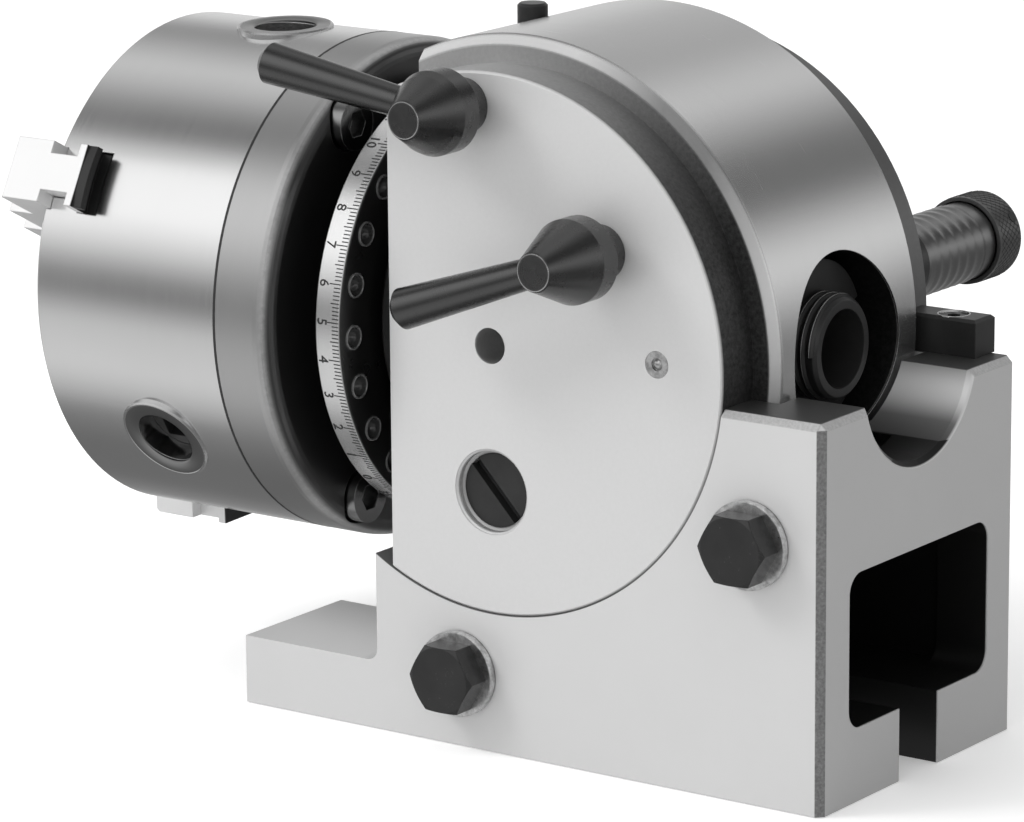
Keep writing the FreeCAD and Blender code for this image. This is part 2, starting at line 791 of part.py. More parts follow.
def worm_shaft():
    thread_end = worm_turns * worm_pitch / 2 + 1.2
    crank_seat = arm_far - crank_nut_height - 3
    core = [(crank_seat, 0), (crank_seat, shaft_end_radius - 1), (arm_far, shaft_end_radius - 1),
            (arm_far, shaft_end_radius), (arm_near + part_gap, shaft_end_radius),
            (arm_near + part_gap, worm_far_journal), (-thread_end, worm_far_journal),
            (-thread_end, worm_core_radius), (thread_end, worm_core_radius), (thread_end, worm_near_journal),
            (sleeve_near_end - 1, worm_near_journal), (sleeve_near_end - 1, 0)]
    return turned_y(core, 0, worm_z).fuse(worm_thread())


def worm_bush():
    far_end = plate_near - hub_length
    near_end = -(worm_turns * worm_pitch / 2 + 2.5)
    tube = rod_y(sleeve_bore - press, far_end, near_end, 0, worm_z)
    return tube.cut(rod_y(worm_far_journal + fit, far_end - 1, near_end + 1, 0, worm_z))


def worm_sleeve():
    """Eccentric sleeve, cut away where the wheel passes at every turn of the sleeve."""
    tube = rod_y(sleeve_radius, flange_near - 1, sleeve_near_end, sleeve_offset, worm_z)
    flange = rod_y(sleeve_flange_radius, plate_near, flange_near, 0, worm_z)
    hub = rod_y(hub_radius, plate_near - hub_length, plate_near, 0, worm_z)
    journal_start = sleeve_near_end - sleeve_ring_width
    bore = rod_y(sleeve_bore, plate_near - hub_length - 1, journal_start, 0, worm_z)
    near_bore = rod_y(worm_near_journal + fit, journal_start - 1, sleeve_near_end + 1, 0, worm_z)
    shell = tube.fuse(flange).fuse(hub)
    return shell.cut([bore, near_bore, wheel_window(), release_rod(press)])


def wheel_window():
    """Wedge over the top and front of the sleeve, as long as the wheel needs."""
    half = journal_reach()
    reach = sleeve_radius + 4
    turns = [math.radians(angle) for angle in (-42, 8, 58, 108, 158)]
    rim = [V(sleeve_offset + reach * 1.2 * math.cos(t), -half, worm_z + reach * 1.2 * math.sin(t)) for t in turns]
    centre = V(sleeve_offset, -half, worm_z)
    outline = Part.makePolygon([centre] + rim + [centre])
    return Part.Face(outline).extrude(V(0, 2 * half, 0))


def journal_reach():
    return sleeve_near_end - sleeve_ring_width


def release_point(distance):
    x, z = on_circle(distance, release_rod_angle, 0, worm_z)
    return V(x, (plate_near + flange_near) / 2, z)


def release_rod(grow=0.0):
    return rod(release_rod_radius + grow, release_point(sleeve_flange_radius - 6 - grow),
               release_point(release_rod_length))


def release_lever():
    """Short rod with a ball, screwed into the sleeve's flange."""
    return release_rod().fuse(Part.makeSphere(release_knob_radius, release_point(release_rod_length)))


def worm_end_plug():
    outer = near_face - plug_recess
    body = rod_y(plug_radius, outer - plug_thickness, outer, 0, worm_z)
    slot = block((-plug_slot / 2, plug_slot / 2), (outer - plug_slot_depth, outer + 1),
                 (worm_z - plug_radius - 1, worm_z + plug_radius + 1))
    slot.rotate(V(0, 0, worm_z), V(0, 1, 0), plug_slot_turn)
    return body.cut(slot)


def ball_oiler():
    body = rod_y(oiler_radius, near_face - oiler_depth, near_face, oiler_x, oiler_z)
    body = body.cut(rod_y(1.5, near_face - 2.5, near_face + 1, oiler_x, oiler_z))
    return body.fuse(Part.makeSphere(1.55, V(oiler_x, near_face - 1.4, oiler_z)))


def plate_angle(step, count):
    return crank_angle + FULL_TURN * step / count


def index_plate():
    body = rod_y(plate_radius, plate_far, plate_near, 0, worm_z)
    cuts = [rod_y(hub_radius + press, plate_far - 1, plate_near + 1, 0, worm_z)]
    circles = last_circle - first_circle
    for count in range(first_circle, last_circle + 1, 1):
        share = (count - first_circle) / circles
        radius = inner_hole_circle + share * (crank_radius - inner_hole_circle)
        for step in range(count):
            x, z = on_circle(radius, plate_angle(step, count), 0, worm_z)
            cuts.append(rod_y(plate_hole_radius, plate_far - 1, plate_near + 1, x, z))
    for x, z in plate_screw_places():
        cuts.append(rod_y(2.1, plate_far - 1, plate_near + 1, x, z))
        cuts.append(rod_y(3.7, plate_far - 1, plate_far + 2.4, x, z))
    return body.cut(cuts)


def plate_screw_places():
    return [on_circle(plate_screw_circle, 30 + 120 * step, 0, worm_z) for step in range(3)]


def plate_screws():
    screws = []
    for x, z in plate_screw_places():
        head = rod_y(3.5, plate_far + 0.2, plate_far + 2.4, x, z)
        screws.append(head.fuse(rod_y(2.0, plate_far + 2.4, plate_near, x, z)))
    return Part.makeCompound(screws)


def sector_arm(layer, angle):
    """Thin arm with a straight counting edge, on the plate's hub."""
    near = sector_near - layer * (sector_thickness + sector_gap)
    far = near - sector_thickness
    ring = rod_y(sector_ring_radius, far, near, 0, worm_z)
    blade = block((0, sector_reach), (far, near), (worm_z - sector_blade_width, worm_z))
    blade = blade.cut(block((sector_reach - 8, sector_reach + 1), (far - 1, near + 1),
                            (worm_z - sector_blade_width - 1, worm_z - sector_blade_width / 2)))
    arm = ring.fuse(blade).cut(rod_y(hub_radius + fit, far - 1, near + 1, 0, worm_z))
    return arm.rotate(V(0, 0, worm_z), V(0, 1, 0), -angle)


def local_to_crank(shape):
    """From a frame with the arm along X and its thickness along Z to its place."""
    x_dir, z_dir = on_circle(1, crank_angle, 0, 0)
    along = V(x_dir, 0, z_dir)
    outward = V(0, -1, 0)
    across = outward.cross(along)
    place = FreeCAD.Matrix(along.x, across.x, outward.x, 0, along.y, across.y, outward.y, 0,
                           along.z, across.z, outward.z, worm_z, 0, 0, 0, 1)
    shape.Placement = FreeCAD.Placement(place)
    return shape


def crank_arm():
    start = -arm_near
    hub = Part.makeCylinder(arm_hub_radius, arm_thickness, V(0, 0, start))
    end = Part.makeCylinder(arm_end_radius, arm_thickness, V(crank_radius, 0, start))
    lean = math.asin((arm_hub_radius - arm_end_radius) / crank_radius)
    side = math.cos(lean)
    rise = math.sin(lean)
    corners = [V(arm_hub_radius * rise, arm_hub_radius * side, start),
               V(crank_radius + arm_end_radius * rise, arm_end_radius * side, start),
               V(crank_radius + arm_end_radius * rise, -arm_end_radius * side, start),
               V(arm_hub_radius * rise, -arm_hub_radius * side, start)]
    web = Part.Face(Part.makePolygon(corners + corners[:1])).extrude(V(0, 0, arm_thickness))
    half = arm_slot_width / 2
    slot = Part.makeBox(crank_radius - arm_slot_start, arm_slot_width, arm_thickness + 2,
                        V(arm_slot_start, -half, start - 1))
    slot = slot.fuse(Part.makeCylinder(half, arm_thickness + 2, V(arm_slot_start, 0, start - 1)))
    slot = slot.fuse(Part.makeCylinder(half, arm_thickness + 2, V(crank_radius, 0, start - 1)))
    bore = Part.makeCylinder(shaft_end_radius + press, arm_thickness + 2, V(0, 0, start - 1))
    return local_to_crank(hub.fuse(end).fuse(web).cut([slot, bore]))


def crank_nut():
    nut = hex_prism_y(crank_nut_across, arm_far - crank_nut_height - 1, arm_far - 1.2, 0, worm_z)
    bore = rod_y(shaft_end_radius - 1 + press, arm_far - crank_nut_height - 2, arm_far + 1, 0, worm_z)
    return nut.cut(bore)


def crank_washer():
    ring = rod_y(arm_hub_radius - 1.5, arm_far - 1.2, arm_far, 0, worm_z)
    return ring.cut(rod_y(shaft_end_radius - 1 + press, arm_far - 2, arm_far + 1, 0, worm_z))


def handle_place():
    return on_circle(crank_radius, crank_angle, 0, worm_z)


def plunger_barrel():
    x, z = handle_place()
    body = turned_y([(-barrel_end, 0), (-barrel_end, barrel_radius - 0.6), (0.6 - barrel_end, barrel_radius),
                     (arm_far - 0.6, barrel_radius), (arm_far, barrel_radius - 0.6),
                     (arm_far, arm_slot_width / 2 - press), (arm_near, arm_slot_width / 2 - press),
                     (arm_near, 0)], x, z)
    chamber = rod_y(barrel_bore, barrel_wall - barrel_end, arm_far - barrel_wall, x, z)
    guide = rod_y(plunger_radius + fit, -barrel_end - 1, arm_near + 1, x, z)
    return body.cut([chamber, guide])


def plunger_collar_y():
    """Inner face of the collar with the pin drawn out of the plate."""
    return arm_far - barrel_wall - part_gap - plunger_travel


def plunger_rod():
    """The plunger stands drawn out, parked, so the crank is free to turn."""
    x, z = handle_place()
    tip = plate_far + plate_thickness - 0.5 - plunger_travel
    collar = plunger_collar_y()
    root = arm_near - plunger_travel
    outer = cap_dome + 1 - cap_end
    return turned_y([(outer, 0), (outer, plunger_radius), (collar - plunger_collar_width,
                     plunger_radius), (collar - plunger_collar_width, plunger_collar),
                     (collar, plunger_collar), (collar, plunger_radius), (root - 1, plunger_radius),
                     (root, plunger_pin_radius), (tip - 0.8, plunger_pin_radius),
                     (tip, plunger_pin_radius - 0.5), (tip, 0)], x, z)


def plunger_spring():
    """Square-wire coil between the plunger's collar and the barrel's outer wall."""
    x, z = handle_place()
    collar = plunger_collar_y() - plunger_collar_width
    start = barrel_wall - barrel_end
    length = collar - start - spring_wire - part_gap
    pitch = length / spring_turns
    path = Part.makeLongHelix(pitch, length, spring_radius)
    half = spring_wire / 2
    corners = [V(spring_radius - half, 0, -half), V(spring_radius + half, 0, -half),
               V(spring_radius + half, 0, half), V(spring_radius - half, 0, half)]
    coil = Part.Wire(path).makePipeShell([Part.makePolygon(corners + corners[:1])], True, True)
    base = V(x, start + half + part_gap / 2, z)
    coil.Placement = FreeCAD.Placement(base, FreeCAD.Rotation(V(0, 0, 1), V(0, 1, 0)))
    return coil


def plunger_cap():
    x, z = handle_place()
    mouth = cap_floor + plunger_travel + 2 * part_gap - cap_end
    floor = cap_floor - cap_end
    skirt = barrel_radius + part_gap
    body = turned_y([(-cap_end, 0), (-cap_end, cap_radius - cap_dome), (cap_dome - cap_end, cap_radius),
                     (mouth, cap_radius), (mouth, skirt), (floor, skirt), (floor, 0)], x, z)
    return body.cut(rod_y(plunger_radius + press, cap_dome + 1 - cap_end, floor + 1, x, z))


def lever_hub(x, z, top, stud_end):
    """Collar, barrel and cone of a clamping lever, on its draw stud."""
    start = near_face + 0.15
    collar_end = start + collar_length
    shoulder = collar_end + lever_hub_length
    shape = turned_y([(start, 0), (start, collar_radius), (collar_end, collar_radius),
                      (collar_end, lever_hub_radius - 1.6), (collar_end + 1.6, lever_hub_radius),
                      (shoulder, lever_hub_radius), (shoulder + 2.2, lever_hub_radius - 0.9),
                      (top - 0.3, lever_face_radius + 0.3), (top, lever_face_radius), (top, 0)], x, z)
    return shape.fuse(rod_y(lever_stud_radius, stud_end, start, x, z))


def lever_handle(x, z, angle, top):
    """Tapered handle with a rounded free end, screwed into the hub's side."""
    x_dir, z_dir = on_circle(1, angle, 0, 0)
    lean = math.radians(lever_lean)
    direction = V(x_dir * math.cos(lean), math.sin(lean), z_dir * math.cos(lean))
    root_y = top - 12.5
    reach = lever_length
    grip = turned([(2.0, 0), (2.0, handle_root_radius), (reach - 1.6, handle_end_radius),
                   (reach, handle_end_radius - 1.7), (reach, 0)], V(x, root_y, z), direction)
    return grip


def cut_for_handle(hub, handle):
    return hub.cut(handle)


def clamp_pads(x, z, inner_near, inner_far, outer_near, outer_far, relief):
    """Two half pads that the lever's stud draws together on a round part."""
    near = rod_y(pad_radius, inner_near, outer_near, x, z)
    far = rod_y(pad_radius, outer_far, inner_far, x, z)
    stud = rod_y(lever_stud_radius + fit, outer_far - 1, outer_near + 1, x, z)
    return Part.makeCompound([near.cut([stud, relief]), far.cut([stud, relief])])


def spindle_lock_pads():
    relief = rod_x(rear_journal + part_gap, rear_bearing_end, chamber_rear)
    return clamp_pads(spindle_lever_x, spindle_lever_z, pad_gap, -pad_gap, spindle_pad_end() - 1,
                      -spindle_pad_end(), relief)


def pin_lock_pads():
    relief = rod_x(pin_body_radius + part_gap, pin_tail - 2, front_flat, pin_y, pin_z)
    return clamp_pads(pin_lever_x, pin_lever_z, pin_y + pad_gap, pin_y - pad_gap, pin_pad_end() - 1,
                      pin_y - pin_body_radius - pin_pad_length, relief)


def bore_plugs():
    plugs = []
    for x, z in ((spindle_lever_x, spindle_lever_z), (pin_lever_x, pin_lever_z)):
        plug = rod_y(pad_radius + fit - press, -far_face, bore_plug_thickness - far_face, x, z)
        key = hex_socket(V(x, -far_face, z), V(0, 1, 0), bore_plug_key, bore_plug_key_depth)
        plugs.append(plug.cut(key))
    return Part.makeCompound(plugs)


def chuck_adapter():
    rim = chuck_radius - adapter_round
    arc_points = []
    for step in range(1, 6):
        turn = math.radians(90 * step / 6)
        arc_points.append((adapter_rear + adapter_round * (1 - math.sin(turn)),
                           rim + adapter_round * math.sin(math.pi / 2 - turn)))
    corner = [(adapter_rear, rim)] + arc_points[::-1] + [(adapter_rear + adapter_round, chuck_radius)]
    bore = nose_radius + press
    hub_rear = ring_front + part_gap
    profile = [(hub_rear, bore), (hub_rear, adapter_hub_radius), (adapter_rear, adapter_hub_radius)]
    profile += corner
    profile += [(chuck_rear, chuck_radius), (chuck_rear, chuck_register - press),
                (chuck_rear + register_depth - 0.2, chuck_register - press),
                (chuck_rear + register_depth - 0.2, bore)]
    body = turned_x(profile)
    pocket = rod_x(screw_head_radius + 0.6, adapter_rear - 1, adapter_rear + screw_pocket_depth, 0,
                   centre_height + chuck_screw_circle)
    hole = rod_x(chuck_screw_radius + press, adapter_rear, chuck_rear + 1, 0, centre_height + chuck_screw_circle)
    return body.cut(repeat_about_spindle(pocket.fuse(hole), jaw_count, screw_turn()))


def screw_turn():
    return spindle_turn + 30


def adapter_screws():
    seat = adapter_rear + screw_pocket_depth
    height = centre_height + chuck_screw_circle
    head = rod_x(screw_head_radius, seat - screw_head_height, seat, 0, height)
    shank = rod_x(chuck_screw_radius, seat, chuck_rear + 12, 0, height)
    socket = hex_socket(V(seat - screw_head_height, 0, height), V(1, 0, 0), 6.0, 4.0)
    return Part.makeCompound(repeat_about_spindle(head.fuse(shank).cut(socket), jaw_count, screw_turn()))


def jaw_turns():
    return [spindle_turn + 60 + 120 * step for step in range(jaw_count)]


def pinion_turns():
    return [spindle_turn + 120 * step for step in range(jaw_count)]


def jaw_slot():
    """Space for one jaw, along +Z, with the two guide ribs left standing."""
    half = jaw_width / 2 + 0.15
    low = centre_height
    high = centre_height + chuck_radius + 1
    wide = block((slot_floor, chuck_front + 1), (-half, half), (low, high))
    rib_x = (jaw_groove_x + 0.15, jaw_groove_x + jaw_groove_width - 0.15)
    rib_y = half - jaw_groove_depth + 0.15
    ribs = [block(rib_x, (rib_y, half), (low, high)), block(rib_x, (-half, -rib_y), (low, high))]
    return wide.cut(ribs)


def chuck_body():
    profile = [(chuck_rear, chuck_bore), (chuck_rear, chuck_radius), (chuck_front - front_chamfer, chuck_radius),
               (chuck_front, chuck_radius - front_chamfer), (chuck_front, chuck_bore)]
    cavity = turned_x([(chuck_rear - 1, 0), (chuck_rear - 1, chuck_register),
                       (chuck_cavity_front, chuck_register), (chuck_cavity_front, chuck_hub_radius),
                       (cover_rear - 0.6, chuck_hub_radius), (cover_rear - 0.6, 0)])
    body = turned_x(profile).cut(cavity)
    up = centre_height
    out = chuck_radius + 1
    bore = rod(pinion_body_radius + fit, V(pinion_x, 0, up + chuck_hub_radius + 4), V(pinion_x, 0, up + out))
    pilot = rod(pinion_pilot_radius + fit, V(pinion_x, 0, up + pinion_inner_end - 1),
                V(pinion_x, 0, up + gear_inner))
    screw = rod_x(chuck_screw_radius + press, chuck_rear - 1, chuck_rear + chuck_screw_grip, 0, up + chuck_screw_circle)
    cuts = []
    for turn in pinion_turns():
        cuts += [about_spindle(piece, turn) for piece in (bore, pilot)]
    cuts += repeat_about_spindle(screw, jaw_count, screw_turn())
    cuts += [about_spindle(jaw_slot(), turn) for turn in jaw_turns()]
    return body.cut(cuts)


def chuck_back_cover():
    ring = rod_x(chuck_register - part_gap / 2, cover_rear, back_cover_front)
    cuts = [rod_x(chuck_hub_radius + press, cover_rear - 1, back_cover_front + 1)]
    up = centre_height
    bore = rod(pinion_body_radius + part_gap, V(pinion_x, 0, up + gear_inner - 2),
               V(pinion_x, 0, up + chuck_radius))
    pilot = rod(pinion_pilot_radius + fit, V(pinion_x, 0, up), V(pinion_x, 0, up + chuck_radius))
    for turn in pinion_turns():
        cuts += [about_spindle(bore, turn), about_spindle(pilot, turn)]
    return ring.cut(cuts)


def tapered_tooth(half_base, half_tip, base, tip, inner, outer):
    """Tooth that widens with radius: each section scales with its distance from the axis."""
    wires = []
    for radius in (inner, outer):
        scale = radius / outer
        corners = [V(-half_base * scale, base * scale, radius), V(-half_tip * scale, tip * scale, radius),
                   V(half_tip * scale, tip * scale, radius), V(half_base * scale, base * scale, radius)]
        wires.append(Part.makePolygon(corners + corners[:1]))
    return Part.makeLoft(wires, True, True)


def crown_place(shape):
    """From tooth axes (across, height, radius) to the scroll's rear face, pointing rearwards."""
    place = FreeCAD.Matrix(0, -1, 0, scroll_plate_rear, -1, 0, 0, 0, 0, 0, 1, centre_height, 0, 0, 0, 1)
    shape.Placement = FreeCAD.Placement(place)
    return shape


def spiral_radius(turn, edge):
    """Radius of the ridge's edge after so many turns from the start."""
    return scroll_start + scroll_pitch * turn + edge


def spiral_point(turn, edge, x):
    """The ridge moves outwards as the angle from straight up towards +Y grows."""
    angle = 2 * math.pi * turn + math.radians(spindle_turn)
    radius = spiral_radius(turn, edge)
    return V(x, radius * math.sin(angle), centre_height + radius * math.cos(angle))


def spiral_ridge():
    """Ridge in short straight runs, close enough together for the jaws' side play."""
    turns = (scroll_outer - scroll_start - ridge_width / 2) / scroll_pitch
    steps = math.ceil(turns * ridge_runs_per_turn)
    shares = [turns * step / steps for step in range(steps + 1)]
    start = scroll_plate_front - 0.5
    inner = [spiral_point(share, -ridge_width / 2, start) for share in shares]
    outer = [spiral_point(share, ridge_width / 2, start) for share in shares]
    outline = inner + outer[::-1] + inner[:1]
    return Part.Face(Part.makePolygon(outline)).extrude(V(ridge_height + 0.5, 0, 0))


def chuck_scroll():
    plate = rod_x(scroll_outer, scroll_plate_rear, scroll_plate_front)
    tooth_pitch = 2 * math.pi * gear_outer / crown_teeth
    tip = scroll_plate_rear - crown_tip_x()
    tooth = tapered_tooth(tooth_pitch * 0.27, tooth_pitch * 0.11, -0.4, tip, gear_inner - 0.8, gear_outer + 0.8)
    tooth = crown_place(tooth)
    teeth = repeat_about_spindle(tooth, crown_teeth, spindle_turn + 180 / crown_teeth)
    body = plate.fuse([spiral_ridge()] + teeth)
    return body.cut(rod_x(chuck_hub_radius + fit, scroll_plate_rear - 6, scroll_plate_front + 6))


def crown_tip_x():
    """Rear end of the crown teeth at their outer edge."""
    return pinion_x + gear_outer * teeth_ratio - 0.55 * crown_module()


def crown_module():
    return 2 * gear_outer / crown_teeth


def scroll_pinion():
    """Pinion along +Z: gear at the inner end, plain body and a square key socket."""
    pitch_radius = gear_outer * teeth_ratio
    root = pitch_radius - 0.85 * crown_module()
    tip = pitch_radius + 0.6 * crown_module()
    tooth_pitch = 2 * math.pi * pitch_radius / pinion_teeth
    inner_scale = gear_inner / gear_outer
    cone = Part.makeCone(root * inner_scale, root, gear_outer - gear_inner, V(0, 0, gear_inner))
    tooth = tapered_tooth(tooth_pitch * 0.2, tooth_pitch * 0.09, root - 0.5, tip, gear_inner, gear_outer)
    teeth = [tooth.copy().rotate(V(0, 0, 0), V(0, 0, 1), FULL_TURN * step / pinion_teeth)
             for step in range(pinion_teeth)]
    body = Part.makeCylinder(pinion_body_radius, pinion_outer_end - gear_outer, V(0, 0, gear_outer))
    pilot = Part.makeCylinder(pinion_pilot_radius, gear_inner - pinion_inner_end + 1, V(0, 0, pinion_inner_end))
    half = key_square / 2
    socket = Part.makeBox(key_square, key_square, key_depth + 1, V(-half, -half, pinion_outer_end - key_depth))
    shape = cone.fuse(teeth + [body, pilot]).cut(socket)
    shape.translate(V(pinion_x, 0, centre_height))
    return shape


def crown_meets_gap(shape):
    """Turn the pinion so that a tooth points straight at the scroll."""
    return shape.rotate(V(pinion_x, 0, centre_height), V(0, 0, 1), -90)


def jaw_blank():
    """Side steps of a jaw along +Z, before its teeth and grooves."""
    high = jaw_low_top + 2 * jaw_step_height
    first = jaw_outer - jaw_low_length
    second = first - jaw_step_length
    outline = [V(jaw_rear, 0, jaw_inner), V(high, 0, jaw_inner), V(high, 0, second),
               V(high - jaw_step_height, 0, second), V(high - jaw_step_height, 0, first),
               V(jaw_low_top, 0, first), V(jaw_low_top, 0, jaw_outer - 0.8),
               V(jaw_low_top - 0.8, 0, jaw_outer), V(jaw_rear, 0, jaw_outer)]
    blank = Part.Face(Part.makePolygon(outline + outline[:1])).extrude(V(0, jaw_width, 0))
    blank.translate(V(0, -jaw_width / 2, centre_height))
    return blank


def jaw_tip_cuts():
    """Two cutters that leave a 120 degree point at the inner end."""
    cuts = []
    for side in (-1, 1):
        corner = V(jaw_rear - 8, side * 1.0, centre_height + jaw_inner - 1)
        far = jaw_width
        outline = [corner, corner + V(0, side * far, 0), corner + V(0, side * far, far * math.tan(math.pi / 6)),
                   corner + V(0, 0, 0)]
        wedge = Part.Face(Part.makePolygon(outline)).extrude(V(jaw_outer, 0, 0))
        cuts.append(wedge)
    return cuts


def crescent_tooth(middle):
    """Tooth whose outer face is round enough for the ridge at the jaw's innermost place."""
    half = jaw_tooth_width / 2
    round_face = max(middle - jaw_travel, scroll_start) + half
    shift = middle + half - round_face
    tooth = rod_x(round_face, jaw_rear - jaw_tooth_reach, jaw_rear + 0.5, 0, centre_height + shift)
    return tooth.cut(rod_x(middle - half, jaw_rear - 5, jaw_rear + 1))


def chuck_jaw(number):
    """Jaw with teeth placed between the ridges of the scroll at its own angle."""
    turn = jaw_turns()[number]
    share = (turn - spindle_turn) / FULL_TURN
    half = jaw_width / 2
    groove_x = (jaw_groove_x, jaw_groove_x + jaw_groove_width)
    deep = half - jaw_groove_depth
    z_range = (centre_height, centre_height + jaw_outer + 1)
    cuts = [block(groove_x, (deep, half + 1), z_range), block(groove_x, (-half - 1, -deep), z_range)]
    cuts += jaw_tip_cuts()
    shape = jaw_blank().cut(cuts)
    limit = block((0, 2 * chuck_front), (-half, half), (centre_height + jaw_inner + 2.5, centre_height + jaw_outer))
    first = spiral_radius(share + 0.5, 0)
    middle = first
    while middle + jaw_tooth_width / 2 < jaw_outer:
        shape = shape.fuse(crescent_tooth(middle).common(limit))
        middle += scroll_pitch
    return about_spindle(shape, turn)


def build():
    os.makedirs("parts", exist_ok=True)
    save("base_casting", base_casting())
    save("clamp_bolts", clamp_bolts())
    save("clamp_washers", clamp_washers())
    save("clamp_bushes", clamp_bushes())
    save("clamp_nuts", clamp_nuts())
    save("tilt_index_block", tilt_index_block())
    save("tilt_index_screw", tilt_index_screw())
    save("swivel_housing", swivel_housing())
    save("front_cover", front_cover())
    save("cover_screws", cover_screws())
    save("front_bearing_bush", front_bearing_bush())
    save("rear_bearing_bush", rear_bearing_bush())
    save("worm_end_plug", worm_end_plug())
    save("ball_oiler", ball_oiler())
    save("spindle_lock_pads", spindle_lock_pads())
    save("pin_lock_pads", pin_lock_pads())
    save("bore_plugs", bore_plugs())
    save("spindle", spindle())
    save("wheel_key", wheel_key())
    save("worm_wheel", worm_wheel())
    save("spindle_lock_nut", spindle_lock_nut())
    save("thrust_washer", thrust_washer())
    save("direct_index_ring", direct_index_ring())
    save("chuck_adapter", chuck_adapter())
    save("adapter_screws", adapter_screws())
    save("chuck_body", chuck_body())
    save("chuck_back_cover", chuck_back_cover())
    save("chuck_scroll", chuck_scroll())
    pinion = crown_meets_gap(scroll_pinion())
    for number, turn in enumerate(pinion_turns()):
        save("scroll_pinion_" + str(number + 1), about_spindle(pinion, turn))
        save("chuck_jaw_" + str(number + 1), chuck_jaw(number))
    save("direct_index_pin", direct_index_pin())
    save("index_pin_knob", index_pin_knob())
    save("worm_sleeve", worm_sleeve())
    save("worm_bush", worm_bush())
    save("release_lever", release_lever())
    save("index_plate", index_plate())
    save("plate_screws", plate_screws())
    save("sector_arm_front", sector_arm(0, crank_angle - sector_lead))
    save("sector_arm_rear", sector_arm(1, crank_angle - sector_lead - sector_opening))
    save("worm_shaft", worm_shaft())
    save("crank_arm", crank_arm())
    save("crank_washer", crank_washer())
    save("crank_nut", crank_nut())
    save("plunger_barrel", plunger_barrel())
    save("plunger_spring", plunger_spring())
    save("plunger_rod", plunger_rod())
    save("plunger_cap", plunger_cap())
    pin_handle = lever_handle(pin_lever_x, pin_lever_z, pin_lever_angle, pin_lever_top)
    pin_hub = lever_hub(pin_lever_x, pin_lever_z, pin_lever_top, pin_y - pin_body_radius - 7)
    save("pin_lock_hub", cut_for_handle(pin_hub, pin_handle))
    save("pin_lock_handle", pin_handle)
    spindle_handle = lever_handle(spindle_lever_x, spindle_lever_z, spindle_lever_angle, spindle_lever_top)
    spindle_hub = lever_hub(spindle_lever_x, spindle_lever_z, spindle_lever_top, 1 - spindle_pad_end())
    save("spindle_lock_hub", cut_for_handle(spindle_hub, spindle_handle))
    save("spindle_lock_handle", spindle_handle)


build()
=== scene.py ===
# %% [markdown]
# A semi-universal dividing head is dressed here: a drum that tilts in a split base, with a
# three-jaw chuck on its spindle. The solids come packed as a frame, with every piece in its
# place. This script gives them their finishes and adds the fine pieces that a solid model leaves
# out, such as the lines of a scale, because they are too thin to be worth cutting into a solid.

import math

import bmesh
import bpy
from mathutils import Matrix, Vector


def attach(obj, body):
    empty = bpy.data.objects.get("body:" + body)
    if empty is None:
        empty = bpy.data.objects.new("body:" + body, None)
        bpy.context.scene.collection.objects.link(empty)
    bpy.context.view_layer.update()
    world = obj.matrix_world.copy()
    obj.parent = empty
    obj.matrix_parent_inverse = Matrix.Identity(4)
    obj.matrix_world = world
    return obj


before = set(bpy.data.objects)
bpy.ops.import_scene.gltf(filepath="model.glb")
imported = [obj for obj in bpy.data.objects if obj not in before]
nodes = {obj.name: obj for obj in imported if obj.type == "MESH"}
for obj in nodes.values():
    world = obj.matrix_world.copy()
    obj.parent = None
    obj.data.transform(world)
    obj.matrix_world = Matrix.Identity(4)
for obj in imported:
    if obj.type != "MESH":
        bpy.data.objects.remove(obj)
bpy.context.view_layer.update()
print("nodes loaded:", len(nodes))

# %% [markdown]
# Lengths are written in millimetres, as on a drawing, and turned to metres where a mesh is
# placed. The spindle runs along X at centre height, and the drum tilts about Y at that same
# height. Angles about the spindle start straight up and run towards +Y, the side with the levers.

# %% Sizes and places that the pieces share
MM = 0.001
CENTRE = 100.0
SPINDLE_TURN = 1.9


def point(x, y, z):
    return Vector((x * MM, y * MM, z * MM))


def around_spindle(angle):
    """Turn about the spindle axis, from straight up towards +Y."""
    middle = Matrix.Translation(point(0, 0, CENTRE))
    return middle @ Matrix.Rotation(math.radians(-angle), 4, "X") @ middle.inverted()


def on_axis(origin, direction):
    """Placement whose local Z runs along a direction from an origin."""
    turn = Vector(direction).normalized().to_track_quat("Z", "Y").to_matrix().to_4x4()
    return Matrix.Translation(point(*origin)) @ turn


print("centre height in metres:", CENTRE * MM)

# %% [markdown]
# Shader maths reads best as plain sums. A small class wraps a socket, so that an expression such
# as (grain - 0.5) * 0.1 adds the Math nodes that it needs. The same nodes could be wired one by
# one, but then nobody could see what a finish does.

# %% A value in a shader that can be used in sums
def join(source, socket):
    """Link a value or another socket, or set a plain number or colour."""
    if isinstance(source, Value):
        source = source.socket
    if isinstance(source, bpy.types.NodeSocket):
        socket.id_data.links.new(source, socket)
    else:
        socket.default_value = source


def combine(operation, *parts):
    """Math node on values and plain numbers."""
    tree = next(part.socket.id_data for part in parts if isinstance(part, Value))
    node = tree.nodes.new("ShaderNodeMath")
    node.operation = operation
    for part, socket in zip(parts, node.inputs):
        join(part, socket)
    return Value(node.outputs[0])


class Value:
    """One number of a shader."""

    def __init__(self, socket):
        self.socket = socket

    def __add__(self, other):
        return combine("ADD", self, other)

    def __sub__(self, other):
        return combine("SUBTRACT", self, other)

    def __rsub__(self, other):
        return combine("SUBTRACT", other, self)

    def __mul__(self, other):
        return combine("MULTIPLY", self, other)

    def __truediv__(self, other):
        return combine("DIVIDE", self, other)

    __radd__ = __add__
    __rmul__ = __mul__

    def power(self, exponent):
        return combine("POWER", self, exponent)

    def least(self, other):
        return combine("MINIMUM", self, other)

    def most(self, other):
        return combine("MAXIMUM", self, other)


print("sums on shader values are ready")

# %% [markdown]
# A finish is a material with one surface shader. Its patterns could follow an unwrapped map, but
# turned and ground marks run straight through a piece, so they read the piece's own coordinates
# and stay put on it when its body moves.

